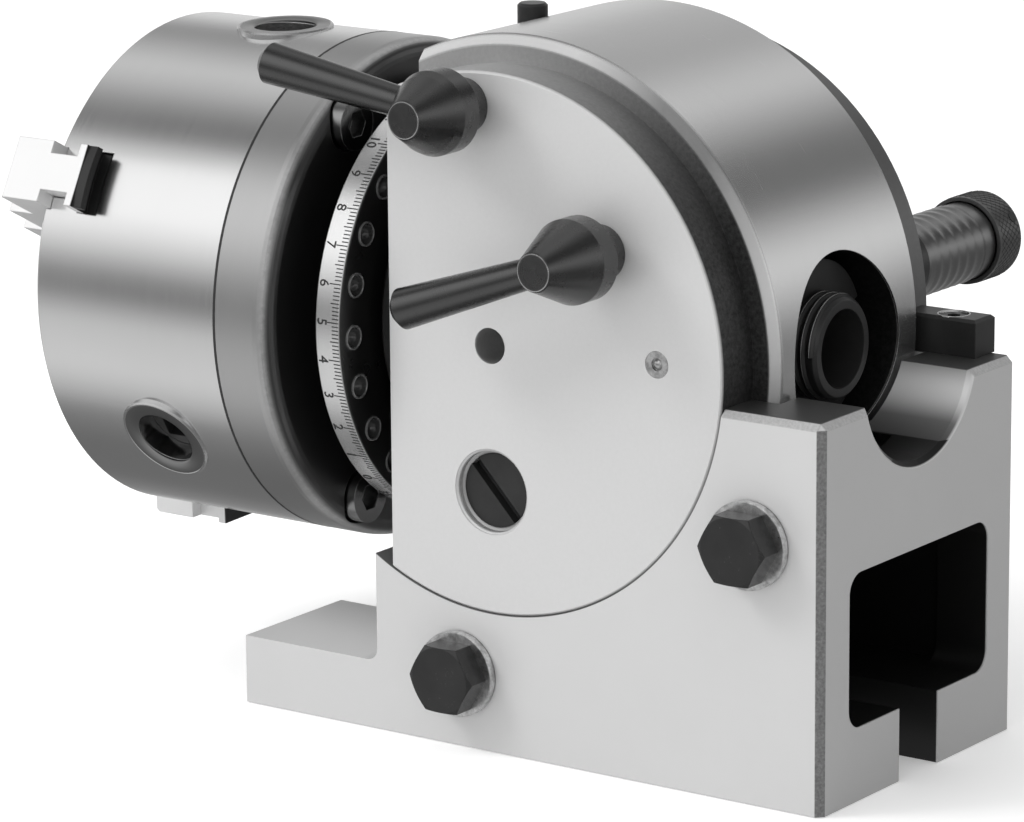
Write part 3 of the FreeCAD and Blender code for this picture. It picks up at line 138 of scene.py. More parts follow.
# %% A finish and the nodes that it is made of
def grey(level):
    return (level, level, level)


class Finish:
    """A material under construction, with its surface shader and the piece's own coordinates."""

    def __init__(self, name, colour, metallic, roughness):
        self.material = bpy.data.materials.new(name)
        self.material.use_nodes = True
        self.tree = self.material.node_tree
        self.surface = self.tree.nodes["Principled BSDF"]
        self.surface.inputs["Base Color"].default_value = (*colour, 1)
        self.surface.inputs["Metallic"].default_value = metallic
        self.surface.inputs["Roughness"].default_value = roughness
        self.place = self.add("ShaderNodeTexCoord").outputs["Object"]

    def add(self, kind, settings=None, **values):
        """Node of any kind, with its settings and then the values or links of its sockets."""
        node = self.tree.nodes.new(kind)
        for name, setting in (settings or {}).items():
            setattr(node, name, setting)
        for name, value in values.items():
            join(value, node.inputs[name.replace("_", " ")])
        return node

    def axes(self):
        """The three coordinates, apart."""
        node = self.add("ShaderNodeSeparateXYZ", Vector=self.place)
        return [Value(socket) for socket in node.outputs]

    def millimetres(self):
        """The three coordinates of a place on a piece, in millimetres."""
        return [part * (1 / MM) for part in self.axes()]

    def noise(self, per_metre, detail=3.0, rough=0.55):
        """Noise with so many grains a metre along X, Y and Z."""
        spread = self.add("ShaderNodeMapping", {"vector_type": "POINT"}, Vector=self.place,
                          Scale=per_metre)
        node = self.add("ShaderNodeTexNoise", Vector=spread.outputs[0], Scale=1.0, Detail=detail,
                        Roughness=rough)
        return Value(node.outputs[0])

    def ramp(self, value, stops, smooth=True):
        """Value remapped through a few (place, brightness) stops."""
        node = self.add("ShaderNodeValToRGB", Fac=value)
        node.color_ramp.interpolation = "B_SPLINE" if smooth else "LINEAR"
        elements = node.color_ramp.elements
        for number, (place, level) in enumerate(stops):
            stop = elements[number] if number < 2 else elements.new(place)
            stop.position = place
            stop.color = (*grey(level), 1)
        return Value(node.outputs[0])

    def tint(self, factor, first, second):
        """Base colour between two colours. A later call takes the place of an earlier one."""
        node = self.add("ShaderNodeMix", {"data_type": "RGBA"})
        join(factor, node.inputs[0])
        join((*first, 1), node.inputs[6])
        join((*second, 1), node.inputs[7])
        join(node.outputs[2], self.surface.inputs["Base Color"])

    def rough(self, value):
        join(value, self.surface.inputs["Roughness"])

    def metal(self, value):
        join(value, self.surface.inputs["Metallic"])

    def relief(self, height, depth, strength, edge):
        """Bump of a depth, over edges that look rounded by a radius, both in millimetres."""
        rounded = self.add("ShaderNodeBevel", {"samples": 4}, Radius=edge * MM)
        node = self.add("ShaderNodeBump", Height=height, Strength=strength, Distance=depth * MM,
                        Normal=rounded.outputs[0])
        join(node.outputs[0], self.surface.inputs["Normal"])


print("the steps of a finish are ready")

# %% [markdown]
# One casting often has several finishes: ground outside, dark inside, blackened on top. Cutting
# its mesh into zones would change the solid, so a zone is a number between zero and one that the
# shader works out from the place in millimetres.

# %% Zones of a piece
def fade(value, low, high):
    """Zero below low and one above high, with a straight run between."""
    return ((value - low) / (high - low)).most(0.0).least(1.0)


def fall(value, low, high):
    """One below low and zero above high."""
    return 1 - fade(value, low, high)


def between(value, low, high, soft=0.1):
    return fade(value, low - soft, low) * fall(value, high, high + soft)


def blend(mask, first, second):
    """First where the mask is zero, and second where it is one."""
    return first + mask * (second - first)


def axis_distance(across, height):
    """Distance from an axis at centre height: the spindle's with Y, the drum's with X."""
    above = height - CENTRE
    return (across * across + above * above).power(0.5)


print("zones are ready")

# %% [markdown]
# Ground cast iron is nearly plain from a step away: a light satin grey with faint cloudy tone and
# very fine straight marks from the grinding wheel. Its edges catch a thin bright line, which a
# bevel in the shader gives without touching the solid. The base is painted dark where no light
# reaches, in its hollow and slot. Painted shade darkens its rear face a little, and the seat
# under the drum is painted as dark as the cheeks' dark tops, as painted shade. Painted light
# makes the top of its foot a little lighter. Its chamfers are worn, darker and speckled, and the
# upright one is darker still. The round notch at the back mirrors the drum in soft bands. Satin
# iron is too dull to mirror them, so they are set by the angle round the notch.

# %% Base
REAR_FACE = -92.7
CHEEK_SIDE = 43.2
CHEEK_TOP = 93.1
SEAT_RADIUS = 65.7
EDGE_CHAMFER = 1.6
FOOT_START = 38.0
FOOT_TOP = 17.1
FLOOR_TOP = 17.8
SLOT_HALF = 9.0
SLOT_END = -45.0
HOLLOW_SIDES = (-33.6, 30.6)
HOLLOW_HEIGHTS = (17.4, 78.3)
HOLLOW_FRONT = 25.0
NOTCH_HALF = 24.2
NOTCH_HEIGHTS = (70.0, 76.2)
NOTCH_BANDS = ((0.0, 0.03), (0.45, 0.06), (0.58, 0.62), (0.72, 0.80), (0.86, 0.10), (1.0, 0.22))
GROUND, DARK_TOP_AND_SEAT_SHADE, UNLIT = 0.60, 0.16, 0.006


def chamfer_zone(sum_of_sides, corner):
    """One on a chamfer, where two coordinates add up to nearly what they do at its corner."""
    start = corner - EDGE_CHAMFER
    return fade(sum_of_sides, start - 0.3, start - 0.05)


def unlit_zone(x, y, z):
    """One inside the hollow and in the slot of its floor."""
    inside = fade(x, REAR_FACE + 0.2, REAR_FACE + 0.5)
    hollow = between(y, *HOLLOW_SIDES) * between(z, *HOLLOW_HEIGHTS)
    hollow = hollow * fall(x, HOLLOW_FRONT, HOLLOW_FRONT + 1.0)
    slot = between(y, -SLOT_HALF, SLOT_HALF) * fall(z, FLOOR_TOP + 0.1, FLOOR_TOP + 0.2)
    slot = slot * fall(x, SLOT_END - 5.0, SLOT_END)
    return inside * hollow.most(slot)


def base_finish():
    finish = Finish("base_ground_iron", grey(GROUND), 0.45, 0.42)
    grain = finish.noise((300, 2600, 2600), detail=4.0, rough=0.7)
    cloud = finish.noise(grey(18), detail=2.0)
    finish.rough(0.42 + (grain - 0.5) * 0.12 + (cloud - 0.5) * 0.06)
    finish.relief(grain, 0.012, 0.35, 0.2)
    x, y, z = finish.millimetres()
    # Painted shade: the rear face is painted a little darker.
    rear = fall(x, REAR_FACE + 0.05, REAR_FACE + 0.1)
    # Painted light: the top of the foot is painted a little lighter.
    foot = between(z, FOOT_TOP - 0.05, FOOT_TOP + 0.05, 0.03)
    foot = foot * fade(x, FOOT_START, FOOT_START + 2.0)
    tone = GROUND + (finish.noise(grey(40)) - 0.5) * 0.03 - rear * 0.11 + foot * 0.10
    notch = fade(z, *NOTCH_HEIGHTS) * between(y, -NOTCH_HALF, NOTCH_HALF)
    notch = notch * fade(x, REAR_FACE + 0.3, REAR_FACE + 0.7)
    round_notch = combine("ARCTAN2", combine("ABSOLUTE", y), CENTRE - z) / math.radians(90)
    tone = blend(notch, tone, finish.ramp(round_notch, NOTCH_BANDS))
    upright_edge = chamfer_zone(y - x, CHEEK_SIDE - REAR_FACE)
    worn = upright_edge.most(chamfer_zone(z + y, CHEEK_TOP + CHEEK_SIDE))
    worn = worn.most(chamfer_zone(z - x, CHEEK_TOP - REAR_FACE))
    speck = finish.noise(grey(1500), detail=2.0)
    tone = blend(worn, tone, 0.44 - upright_edge * 0.26 + (speck - 0.5) * 0.26)
    # The cheeks' tops are dark, and the seat under the drum is painted as dark: painted shade.
    top = fade(z, CHEEK_TOP - 0.2, CHEEK_TOP - 0.05)
    seat = fall(axis_distance(x, z), SEAT_RADIUS - 0.05, SEAT_RADIUS + 0.05)
    tone = blend(top.most(seat), tone, DARK_TOP_AND_SEAT_SHADE)
    finish.tint(blend(unlit_zone(x, y, z), tone, UNLIT), grey(0.0), grey(1.0))
    finish.metal(blend(top, 0.25, 0.9))
    return finish


base_iron = base_finish()
print("finish made:", base_iron.material.name)

# %% [markdown]
# The drum is one casting with several zones. Its wide rim is ground bright, its near disc is the
# same quiet grey as the base, and the step between them is darker, with a grainy turned look.
# The pocket at the back is painted near black, as painted shade in its recess. Each place is
# picked out by its distance from the tilt axis or the spindle. The step is shaded from front to
# rear as well, because it mirrors more of the dark room behind it. The bevel is painted lighter
# at the top and darker part way round, as painted highlight and painted shade. The side that
# leads to the far face is painted darker as painted shade, and the far face a little lighter.

# %% Drum
DISC_START = 42.4
STEP_START = 29.9
BEVEL_START = 28.0
BEVEL_RADIUS = 70.0
RIM_RADIUS = 72.0
POCKET_RADIUS = 23.2
POCKET_START = -49.0
FAR_SIDE = (-47.3, -31.0)


def drum_finish():
    finish = Finish("drum_ground_steel", grey(0.6), 0.9, 0.3)
    x, y, z = finish.millimetres()
    from_tilt = axis_distance(x, z)
    near_disc = fade(y, DISC_START, DISC_START + 0.6)
    step = fade(y, STEP_START, STEP_START + 0.2) * (1 - near_disc)
    rim = fade(from_tilt, RIM_RADIUS - 0.4, RIM_RADIUS)
    bevel = fade(y, BEVEL_START, BEVEL_START + 0.3)
    bevel = bevel * fade(from_tilt, BEVEL_RADIUS - 0.6, BEVEL_RADIUS)
    # Painted shade: the pocket at the back is painted near black.
    pocket = fall(x, POCKET_START - 1.0, POCKET_START) * (1 - rim)
    pocket = pocket * fall(axis_distance(y, z), POCKET_RADIUS, POCKET_RADIUS + 0.2)
    # Painted shade: the side towards the far face is painted darker.
    far_side = between(y, *FAR_SIDE, 0.2)
    far_face = fall(y, FAR_SIDE[0] - 0.2, FAR_SIDE[0])
    # Painted reflection and shade: the step is lighter at the front and darker at the rear, and
    # the bevel lighter at the top and darker part way round.
    step_shade = 1.7 - fall(x, -60.0, 6.0) * 1.5
    bevel_shade = 1.25 - between(x, -52.0, -40.0, 24.0) * 0.80
    shade = blend(step.most(bevel), 1.0, blend(bevel, step_shade, bevel_shade))
    grain = finish.noise(grey(900), detail=5.0, rough=0.75)
    turned = finish.noise((60, 3200, 60))
    tone = 0.50 + near_disc * 0.13 + rim * 0.20 + bevel * 0.14 - step * (1 - bevel) * 0.20
    tone = tone * shade * (1 - far_side * 0.72) + far_face * 0.13
    tone = tone * (1 - pocket * 0.975) + (grain - 0.5) * (0.05 + step * 0.12)
    finish.tint(tone.least(1.0), grey(0.0), grey(1.0))
    finish.metal(0.62 + rim * 0.36 - near_disc * 0.32 + step * 0.15)
    finish.rough(0.40 - rim * 0.15 + pocket * 0.1 + step * 0.08 + (turned - 0.5) * 0.10)
    finish.relief(blend(step, turned, grain), 0.010, 0.35, 0.15)
    return finish


drum = drum_finish()
print("finish made:", drum.material.name)

# %% [markdown]
# Turned and polished steel keeps very fine rings round its own axis. They stretch each reflection
# across the rings, so a noise pressed flat along the axis drives both roughness and relief.
# Modelled rings would be too fine to see one by one.

# %% Polished and turned steel
def turned_steel(name, colour, rough, metallic=1.0, depth=0.006, scale=(2600, 40, 40), edge=0.35):
    finish = Finish(name, grey(colour), metallic, rough)
    rings = finish.noise(scale, rough=0.6)
    cloud = finish.noise(grey(30))
    finish.rough(rough + (rings - 0.5) * 0.10 + (cloud - 0.5) * 0.05)
    finish.tint(cloud, grey(colour * 0.96), grey(min(1.0, colour * 1.03)))
    finish.relief(rings, depth, 0.4, edge)
    return finish


chuck_steel = turned_steel("chuck_polished_steel", 0.80, 0.20)
plain_steel = turned_steel("machined_steel", 0.56, 0.33)
plate_steel = turned_steel("plate_steel", 0.62, 0.30, scale=(60, 2600, 60))
screw_steel = turned_steel("screw_dark_steel", 0.30, 0.24, scale=grey(900))
barrel_steel = turned_steel("barrel_dark_steel", 0.24, 0.30, scale=grey(300))
lever_black = turned_steel("lever_black_steel", 0.105, 0.27, metallic=0.95, depth=0.002,
                           scale=grey(250))
print("finishes so far:", len(bpy.data.materials))

# %% [markdown]
# Some pieces need a colour of their own over the turned marks. The jaws are dark on the teeth
# behind their flat backs, the zinc on the washers is mottled, and the bearings and the worm wheel
# are bronze. Each takes the turned finish and tints it again, so the marks stay alike.

# %% Jaws, washers and bearings
JAW_BACK = 111.1

jaw_steel = turned_steel("jaw_ground_steel", 0.80, 0.36, metallic=0.6, scale=(60, 900, 900))
ahead_of_teeth = fade(jaw_steel.millimetres()[0], JAW_BACK, JAW_BACK + 0.3)
jaw_steel.tint(ahead_of_teeth, grey(0.035), grey(0.82))

bright_zinc = turned_steel("bright_washer", 0.78, 0.30, scale=(400, 2200, 400))
mottle = bright_zinc.noise(grey(420), detail=4.0, rough=0.7)
bright_zinc.tint(bright_zinc.ramp(mottle, ((0.35, 0.0), (0.62, 1.0))), grey(0.34), grey(0.92))

bronze = turned_steel("bearing_bronze", 0.5, 0.34)
bronze.tint(bronze.noise(grey(60)), (0.42, 0.25, 0.09), (0.55, 0.36, 0.15))
print("jaws, washers and bearings have their colours")

# %% [markdown]
# Bolts, nuts and small fittings are blackened in hot salts, which leaves a nearly black skin with
# a soft sheen. One dark colour would look like plastic. The skin is never quite even, so two
# noises mix into its colour and its sheen.

# %% Blackened steel
def black_oxide(name, colour, rough, grain_scale=1500, depth=0.012, edge=0.35):
    finish = Finish(name, grey(colour), 0.55, rough)
    grain = finish.noise(grey(grain_scale), detail=4.0, rough=0.7)
    cloud = finish.noise(grey(120))
    finish.tint(cloud * 0.7 + grain * 0.3, grey(colour * 0.7), grey(colour * 1.7))
    finish.rough(rough + (grain - 0.5) * 0.18 + (cloud - 0.5) * 0.10)
    finish.relief(grain, depth, 0.4, edge)
    return finish


oxide = black_oxide("black_oxide_steel", 0.034, 0.36)
oxide_bolts = black_oxide("black_oxide_bolts", 0.030, 0.24, 700, 0.02)
knurled = black_oxide("knurled_oxide", 0.075, 0.34, 900)
print("finishes so far:", len(bpy.data.materials))

# %% [markdown]
# The adapter flange is satin on its rim and blackened behind, and the indexing ring is bright
# outside and black behind, where its holes are. Both are single solids, so the finish changes by
# distance along the spindle. The ring's bright part also keeps to its outside, past a certain
# radius.

# %% Flange and indexing ring
def two_sided(name, edge_at, soft, bright, rough, dark, dark_rough, bright_radius=None):
    finish = Finish(name, grey(bright), 0.95, rough)
    x, y, z = finish.millimetres()
    outer = fade(x, edge_at - soft, edge_at + soft)
    if bright_radius is not None:
        outer = outer * fade(axis_distance(y, z), bright_radius - 0.5, bright_radius)
    grain = finish.noise(grey(700), detail=5.0, rough=0.75)
    rings = finish.noise((2600, 60, 60))
    worn = outer * fall(x, edge_at + soft, edge_at + soft * 4)
    tone = dark + outer * (bright - dark) + worn * (grain - 0.35) * 0.4
    finish.tint(tone.most(0.0).least(1.0), grey(0.0), grey(1.0))
    finish.rough(blend(outer, dark_rough, rough) + (rings - 0.5) * 0.12 + worn * 0.15)
    finish.relief(blend(worn, rings, grain), 0.010, 0.4, 0.4)
    return finish


flange = two_sided("flange_satin_steel", 53.4, 0.5, 0.50, 0.32, 0.12, 0.30)
ring = two_sided("index_ring_steel", 36.9, 0.12, 0.80, 0.24, 0.07, 0.30, bright_radius=53.2)
print("two-sided finishes:", flange.material.name, ring.material.name)

# %% [markdown]
# Each solid of the frame takes the finish of the real piece. Their shapes stay as packed, because
# they are already right. A solid that isn't named below is plain machined steel, as most inner
# pieces are.

# %% Give each solid its finish
worn_by = (
    (base_iron, ("base_casting",)),
    (drum, ("swivel_housing",)),
    (chuck_steel, ("chuck_body",)),
    (flange, ("chuck_adapter",)),
    (ring, ("direct_index_ring",)),
    (jaw_steel, ("chuck_jaw_1", "chuck_jaw_2", "chuck_jaw_3")),
    (bright_zinc, ("clamp_washers", "ball_oiler", "crank_washer")),
    (oxide_bolts, ("clamp_bolts", "clamp_nuts")),
    (plate_steel, ("index_plate", "sector_arm_front", "sector_arm_rear")),
    (bronze, ("worm_wheel", "worm_bush", "front_bearing_bush", "rear_bearing_bush")),
    (screw_steel, ("adapter_screws",)),
    (lever_black, ("pin_lock_hub", "pin_lock_handle", "spindle_lock_hub", "spindle_lock_handle")),
    (barrel_steel, ("plunger_barrel",)),
    (knurled, ("plunger_cap",)),
    (oxide, ("tilt_index_block", "tilt_index_screw", "worm_end_plug", "index_pin_knob",
             "release_lever", "crank_arm", "crank_nut", "cover_screws", "plate_screws", "spindle",
             "spindle_lock_nut", "front_cover", "scroll_pinion_1", "scroll_pinion_2",
             "scroll_pinion_3")),
)
finish_of = {name: finish for finish, names in worn_by for name in names}
for name, solid in nodes.items():
    solid.data.materials.clear()
    solid.data.materials.append(finish_of.get(name, plain_steel).material)
    solid.data.shade_smooth()
print("solids with a finish:", len(nodes), "of which named:", len(finish_of))

# %% [markdown]
# Small pieces are made in a few steps: an outline is spun into a ring or a coil, and the parts of
# one piece are gathered, in place, and ride on the body that they belong to. A ring could also be
# bent from a bar, but a spin closes on itself with no seam.

# %% Ways to make small pieces
def moved(part, *places):
    for place in places:
        bmesh.ops.transform(part, matrix=place, verts=part.verts)
    return part


def spun(outline, steps=48, angle=360.0, rise=0.0, ends_on_axis=False):
    """Ring round Z from a closed outline of (radius, height) places, or a coil where it rises."""
    part = bmesh.new()
    corners = [part.verts.new((radius * MM, 0, height * MM)) for radius, height in outline]
    others = corners[1:] if ends_on_axis else corners[1:] + corners[:1]
    loop = [part.edges.new(pair) for pair in zip(corners, others)]
    bmesh.ops.spin(part, geom=corners + loop, cent=(0, 0, 0), axis=(0, 0, 1),
                   dvec=(0, 0, rise * MM / steps), angle=math.radians(angle), steps=steps,
                   use_merge=rise == 0.0)
    if rise:
        open_ends = [edge for edge in part.edges if edge.is_boundary]
        bmesh.ops.holes_fill(part, edges=open_ends, sides=0)
    if ends_on_axis:
        bmesh.ops.remove_doubles(part, verts=part.verts, dist=0.002 * MM)
    bmesh.ops.recalc_face_normals(part, faces=part.faces)
    return part


def gather(name, body, finish, parts, corner=35.0):
    """One piece from parts in place. Edges sharper than the corner angle stay crisp."""
    whole = bmesh.new()
    for part in parts:
        step = bpy.data.meshes.new(name)
        part.to_mesh(step)
        part.free()
        whole.from_mesh(step)
        bpy.data.meshes.remove(step)
    for edge in whole.edges:
        edge.smooth = not edge.is_manifold or edge.calc_face_angle() < math.radians(corner)
    for face in whole.faces:
        face.smooth = True
    data = bpy.data.meshes.new(name)
    whole.to_mesh(data)
    count = len(whole.faces)
    whole.free()
    data.materials.append(finish.material)
    piece = bpy.data.objects.new(name, data)
    bpy.context.scene.collection.objects.link(piece)
    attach(piece, body)
    print(name, "rides on", body, "with", count, "faces")
    return piece


print("ways to make pieces are ready")

# %% [markdown]
# The indexing ring carries a scale: a short line at each degree, a longer one at each fifth, and
# the longest at each tenth. On the real ring they are cut and filled with black. Here each is a
# thin bar that stands a hair proud, so that it shows in the mesh and not only in the finish.

# %% Lines of the scale
SCALE_START = 137.15
RING_TOP = CENTRE + 53.5
LINE_START, LINE_WIDTH, LINE_DEPTH = 37.05, 0.27, 0.10
TENTH, FIFTH, PLAIN = 3.3, 2.5, 1.9

paint_and_hole_shade = Finish("black_paint_and_hole_shade", grey(0.012), 0.0, 0.45)
paint_and_hole_shade.tint(paint_and_hole_shade.noise(grey(900)), grey(0.008), grey(0.03))

lines = bmesh.new()
for degree in range(360):
    length = TENTH if degree % 10 == 0 else FIFTH if degree % 5 == 0 else PLAIN
    bar = Matrix.Diagonal((length * MM, LINE_WIDTH * MM, LINE_DEPTH * MM, 1))
    spot = Matrix.Translation(point(LINE_START + length / 2, 0, RING_TOP - 0.01))
    turn = around_spindle(SCALE_START - degree)
    bmesh.ops.create_cube(lines, size=1.0, matrix=turn @ spot @ bar)
gather("scale_lines", "spindle", paint_and_hole_shade, [lines])

# %% [markdown]
# The scale is numbered at each tenth line. The digits lie on the ring with their tops towards the
# lines. They start as text, whose shapes are already well drawn, and become a thin mesh before
# they are put in place.

# %% Numbers of the scale
DIGIT_HEIGHT = 2.7
DIGITS_X = 41.9


def digits(text, height):
    """Digits lying flat and centred, as closed shapes."""
    curve = bpy.data.curves.new("digits", "FONT")
    curve.body = text
    curve.extrude = 0.02
    curve.resolution_u = 3
    holder = bpy.data.objects.new("digits", curve)
    shape = bpy.data.meshes.new_from_object(holder)
    part = bmesh.new()
    part.from_mesh(shape)
    bpy.data.objects.remove(holder)
    bpy.data.curves.remove(curve)
    bpy.data.meshes.remove(shape)
    bmesh.ops.remove_doubles(part, verts=part.verts, dist=0.0001)
    bmesh.ops.recalc_face_normals(part, faces=part.faces)
    lows = [min(vert.co[axis] for vert in part.verts) for axis in range(3)]
    highs = [max(vert.co[axis] for vert in part.verts) for axis in range(3)]
    middle = [(low + high) / -2 for low, high in zip(lows, highs)]
    size = height * MM / (highs[1] - lows[1])
    return moved(part, Matrix.Translation(middle), Matrix.Diagonal((size, size, size, 1)))


quarter_turn = Matrix(((0, -1, 0, 0), (1, 0, 0, 0), (0, 0, 1, 0), (0, 0, 0, 1)))
numbers = []
for number in range(36):
    spot = Matrix.Translation(point(DIGITS_X, 0, RING_TOP + 0.015))
    turn = around_spindle(SCALE_START - 10 * number)
    numbers.append(moved(digits(str(number), DIGIT_HEIGHT), turn @ spot @ quarter_turn))
gather("scale_numbers", "spindle", paint_and_hole_shade, numbers)

# %% [markdown]
# Each of the ring's 24 index holes has a rolled lip that the pin has polished, and a smooth wall
# that shows as a dark cup. The pin stands in front of one hole, so that hole gets a lip and no
# cup. A spun lip catches the light all round, which a bump in the finish would not.

# %% Index holes
HOLE_COUNT = 24
HOLE_CIRCLE = 48.1
RING_BACK = 36.65

gloss_black = black_oxide("glossy_black_steel", 0.13, 0.16, depth=0.002, edge=0.05)
cup_black = black_oxide("cup_black_steel", 0.055, 0.12, depth=0.002, edge=0.05)


def hole_place(number):
    turn = around_spindle(SPINDLE_TURN + number * 360 / HOLE_COUNT)
    return turn @ on_axis((RING_BACK, 0, CENTRE + HOLE_CIRCLE), (1, 0, 0))


lip_outline = [(2.55, 0.9), (2.55, -0.25), (2.75, -0.42), (3.05, -0.30), (3.15, 0.1), (2.8, 0.9)]
cup_outline = [(0, 2.5), (1.0, 2.25), (1.8, 1.6), (2.3, 0.7), (2.52, -0.1), (2.58, -0.1),
               (2.58, 1.0), (1.9, 2.3), (0, 2.9)]
lips = [moved(spun(lip_outline, 28), hole_place(number)) for number in range(HOLE_COUNT)]
cups = [moved(spun(cup_outline, 28, ends_on_axis=True), hole_place(number))
        for number in range(HOLE_COUNT - 1)]
gather("index_hole_lips", "spindle", gloss_black, lips)
gather("index_hole_cups", "spindle", cup_black, cups, 60.0)

# %% [markdown]
# Each of the chuck's three key sockets sits in a turned ring that stands a little proud of the
# body, with a bright bevelled rim. Both are spun, so the bevel is a real face with its own light.

# %% Rings of the key sockets
CHUCK_RADIUS = 62.3
SOCKET_X = 91.5

socket_steel = turned_steel("key_ring_steel", 0.30, 0.30, depth=0.002, scale=grey(300), edge=0.1)
worn_steel = turned_steel("worn_edge_steel", 0.60, 0.26, depth=0.002, scale=grey(400), edge=0.05)

face_outline = [(7.76, -4.0), (7.76, 0.05), (8.3, 0.42), (11.3, 0.42), (11.3, -2.0)]
rim_outline = [(11.25, -2.0), (11.25, 0.40), (11.5, 0.55), (11.75, 0.52), (12.1, 0.1),
               (12.1, -2.0)]
faces, rims = [], []
for number in range(3):
    turn = around_spindle(SPINDLE_TURN + number * 120)
    spot = turn @ Matrix.Translation(point(SOCKET_X, 0, CENTRE + CHUCK_RADIUS))
    faces.append(moved(spun(face_outline, 64), spot))
    rims.append(moved(spun(rim_outline, 64), spot))
gather("key_socket_faces", "spindle", socket_steel, faces)
gather("key_socket_rims", "spindle", worn_steel, rims)

# %% [markdown]
# The joint between flange and chuck shows as a thin black line, here a flat band that stands only
# a hair proud. The spindle's rear end carries a coarse thread with worn bright crests. A coil
# gives the thread its real slope, which stacked rings would lack.

# %% Seam and rear thread
THREAD_STEPS, THREAD_SWEEP, THREAD_LENGTH = 120, 860.0, 5.26

seam_outline = [(CHUCK_RADIUS - 0.3, -0.35), (CHUCK_RADIUS + 0.04, -0.35),
                (CHUCK_RADIUS + 0.04, 0.35), (CHUCK_RADIUS - 0.3, 0.35)]
seam = moved(spun(seam_outline, 160), on_axis((67.9, 0, CENTRE), (1, 0, 0)))
gather("flange_seam", "spindle", paint_and_hole_shade, [seam])

rear_end = on_axis((-69.6, 0, CENTRE), (1, 0, 0))
thread_outline = [(12.1, -0.95), (12.9, -0.30), (12.9, 0.30), (12.1, 0.95)]
crest_outline = [(12.8, -0.25), (13.05, -0.08), (13.05, 0.08), (12.8, 0.25)]
thread = spun(thread_outline, THREAD_STEPS, THREAD_SWEEP, THREAD_LENGTH)
crest = spun(crest_outline, THREAD_STEPS, THREAD_SWEEP, THREAD_LENGTH)
gather("rear_thread", "spindle", oxide, [moved(thread, rear_end)])
gather("rear_thread_crests", "spindle", screw_steel, [moved(crest, rear_end)])

# %% [markdown]
# The plunger's barrel is wound with soft ribs, which give the fingers a grip. They stay low, so
# that the cap still slides over them. One coil makes them all, because each rib runs into the
# next.

# %% Ribs of the plunger barrel
HANDLE_X, HANDLE_Z = -36.34, 102.29

barrel_end = on_axis((HANDLE_X, -83.2, HANDLE_Z), (0, -1, 0))
rib_outline = [(9.6, -1.95), (9.99, -1.95), (10.03, -1.5), (10.11, -1.0), (10.21, -0.5),
               (10.26, 0.0), (10.21, 0.5), (10.11, 1.0), (10.03, 1.5), (9.99, 1.95), (9.6, 1.95)]
ribs = spun(rib_outline, 300, 2230.0, 26.0)
gather("barrel_ribs", "crank", barrel_steel, [moved(ribs, barrel_end)], 70.0)

# %% [markdown]
# The cap's knurl is two families of fine ridges that lean opposite ways and cross in diamonds.
# Each ridge is a short steep coil, so it follows the round cap. The cap also has a small hole
# near its end, drawn as a black disc, which is painted shade.

# %% Knurl and hole of the cap
RIDGE_COUNT = 40
RIDGE_LEAN = 38.0

cap = on_axis((HANDLE_X, -114.1, HANDLE_Z), (0, -1, 0))
ridges = []
for number in range(RIDGE_COUNT):
    turn = Matrix.Rotation(math.radians(number * 360 / RIDGE_COUNT), 4, "Z")
    for lean in (-RIDGE_LEAN, RIDGE_LEAN):
        ridge = spun([(11.2, -0.16), (11.43, 0.0), (11.2, 0.16)], 8, lean, 8.8)
        ridges.append(moved(ridge, turn, cap))
gather("cap_knurl", "plunger", knurled, ridges, 20.0)

# Painted shade: the small hole is a black disc that stands where its dark inside would be.
hole = spun([(0, 0.16), (1.35, 0.16), (1.35, -0.6), (0, -0.6)], 32, ends_on_axis=True)
hole_spot = on_axis((-46.0, -121.4, 108.14), (-0.855, 0, 0.518))
gather("cap_hole", "plunger", paint_and_hole_shade, [moved(hole, hole_spot)])

# %% [markdown]
# The index block on the far cheek has a bright ring round the counterbore of its screw, where the
# tool has cut the black skin away.

# %% Ring of the index block
ring_outline = [(3.6, -0.5), (3.7, 0.06), (4.0, 0.06), (4.1, -0.2), (3.9, -0.5)]
block_screw = Matrix.Translation(point(-78.35, -38.35, 102.3))
gather("block_screw_ring", "base", worn_steel, [moved(spun(ring_outline, 64), block_screw)])

# %% [markdown]
# The flat fronts of the lever hubs show the fine rings of facing on a lathe, inside a thin bright
# edge. The rings are spun as low ridges, since a noise can't be centred on two hubs at once.

# %% Fronts of the lever hubs
fronts = {"pin_lock": (6.5, 67.5, 157.0), "spindle_lock": (-32.2, 70.8, 126.3)}
edge_outline = [(4.15, -0.1), (4.2, 0.06), (4.38, 0.04), (4.58, -0.25), (4.4, -0.4)]
for body, middle in fronts.items():
    facing = on_axis(middle, (0, 1, 0))
    front_rings = []
    for radius in (0.6, 1.1, 1.6, 2.1, 2.6, 3.1, 3.6):
        ridge = spun([(radius - 0.2, -0.05), (radius, 0.06), (radius + 0.2, -0.05)], 40)
        front_rings.append(moved(ridge, facing))
    gather(body + "_front_rings", body, lever_black, front_rings)
    gather(body + "_front_edge", body, worn_steel, [moved(spun(edge_outline, 56), facing)])

# %% [markdown]
# The studio is a white room. What the metal mirrors is a room of wide soft boxes with dark gaps
# between them, so the round pieces show the long light and dark bands of polished steel. Real
# boxes would need many lamps. Here the world's brightness is set by the angle at which a mirrored
# ray leaves, with one set of bands for the lever side and one for the crank side.

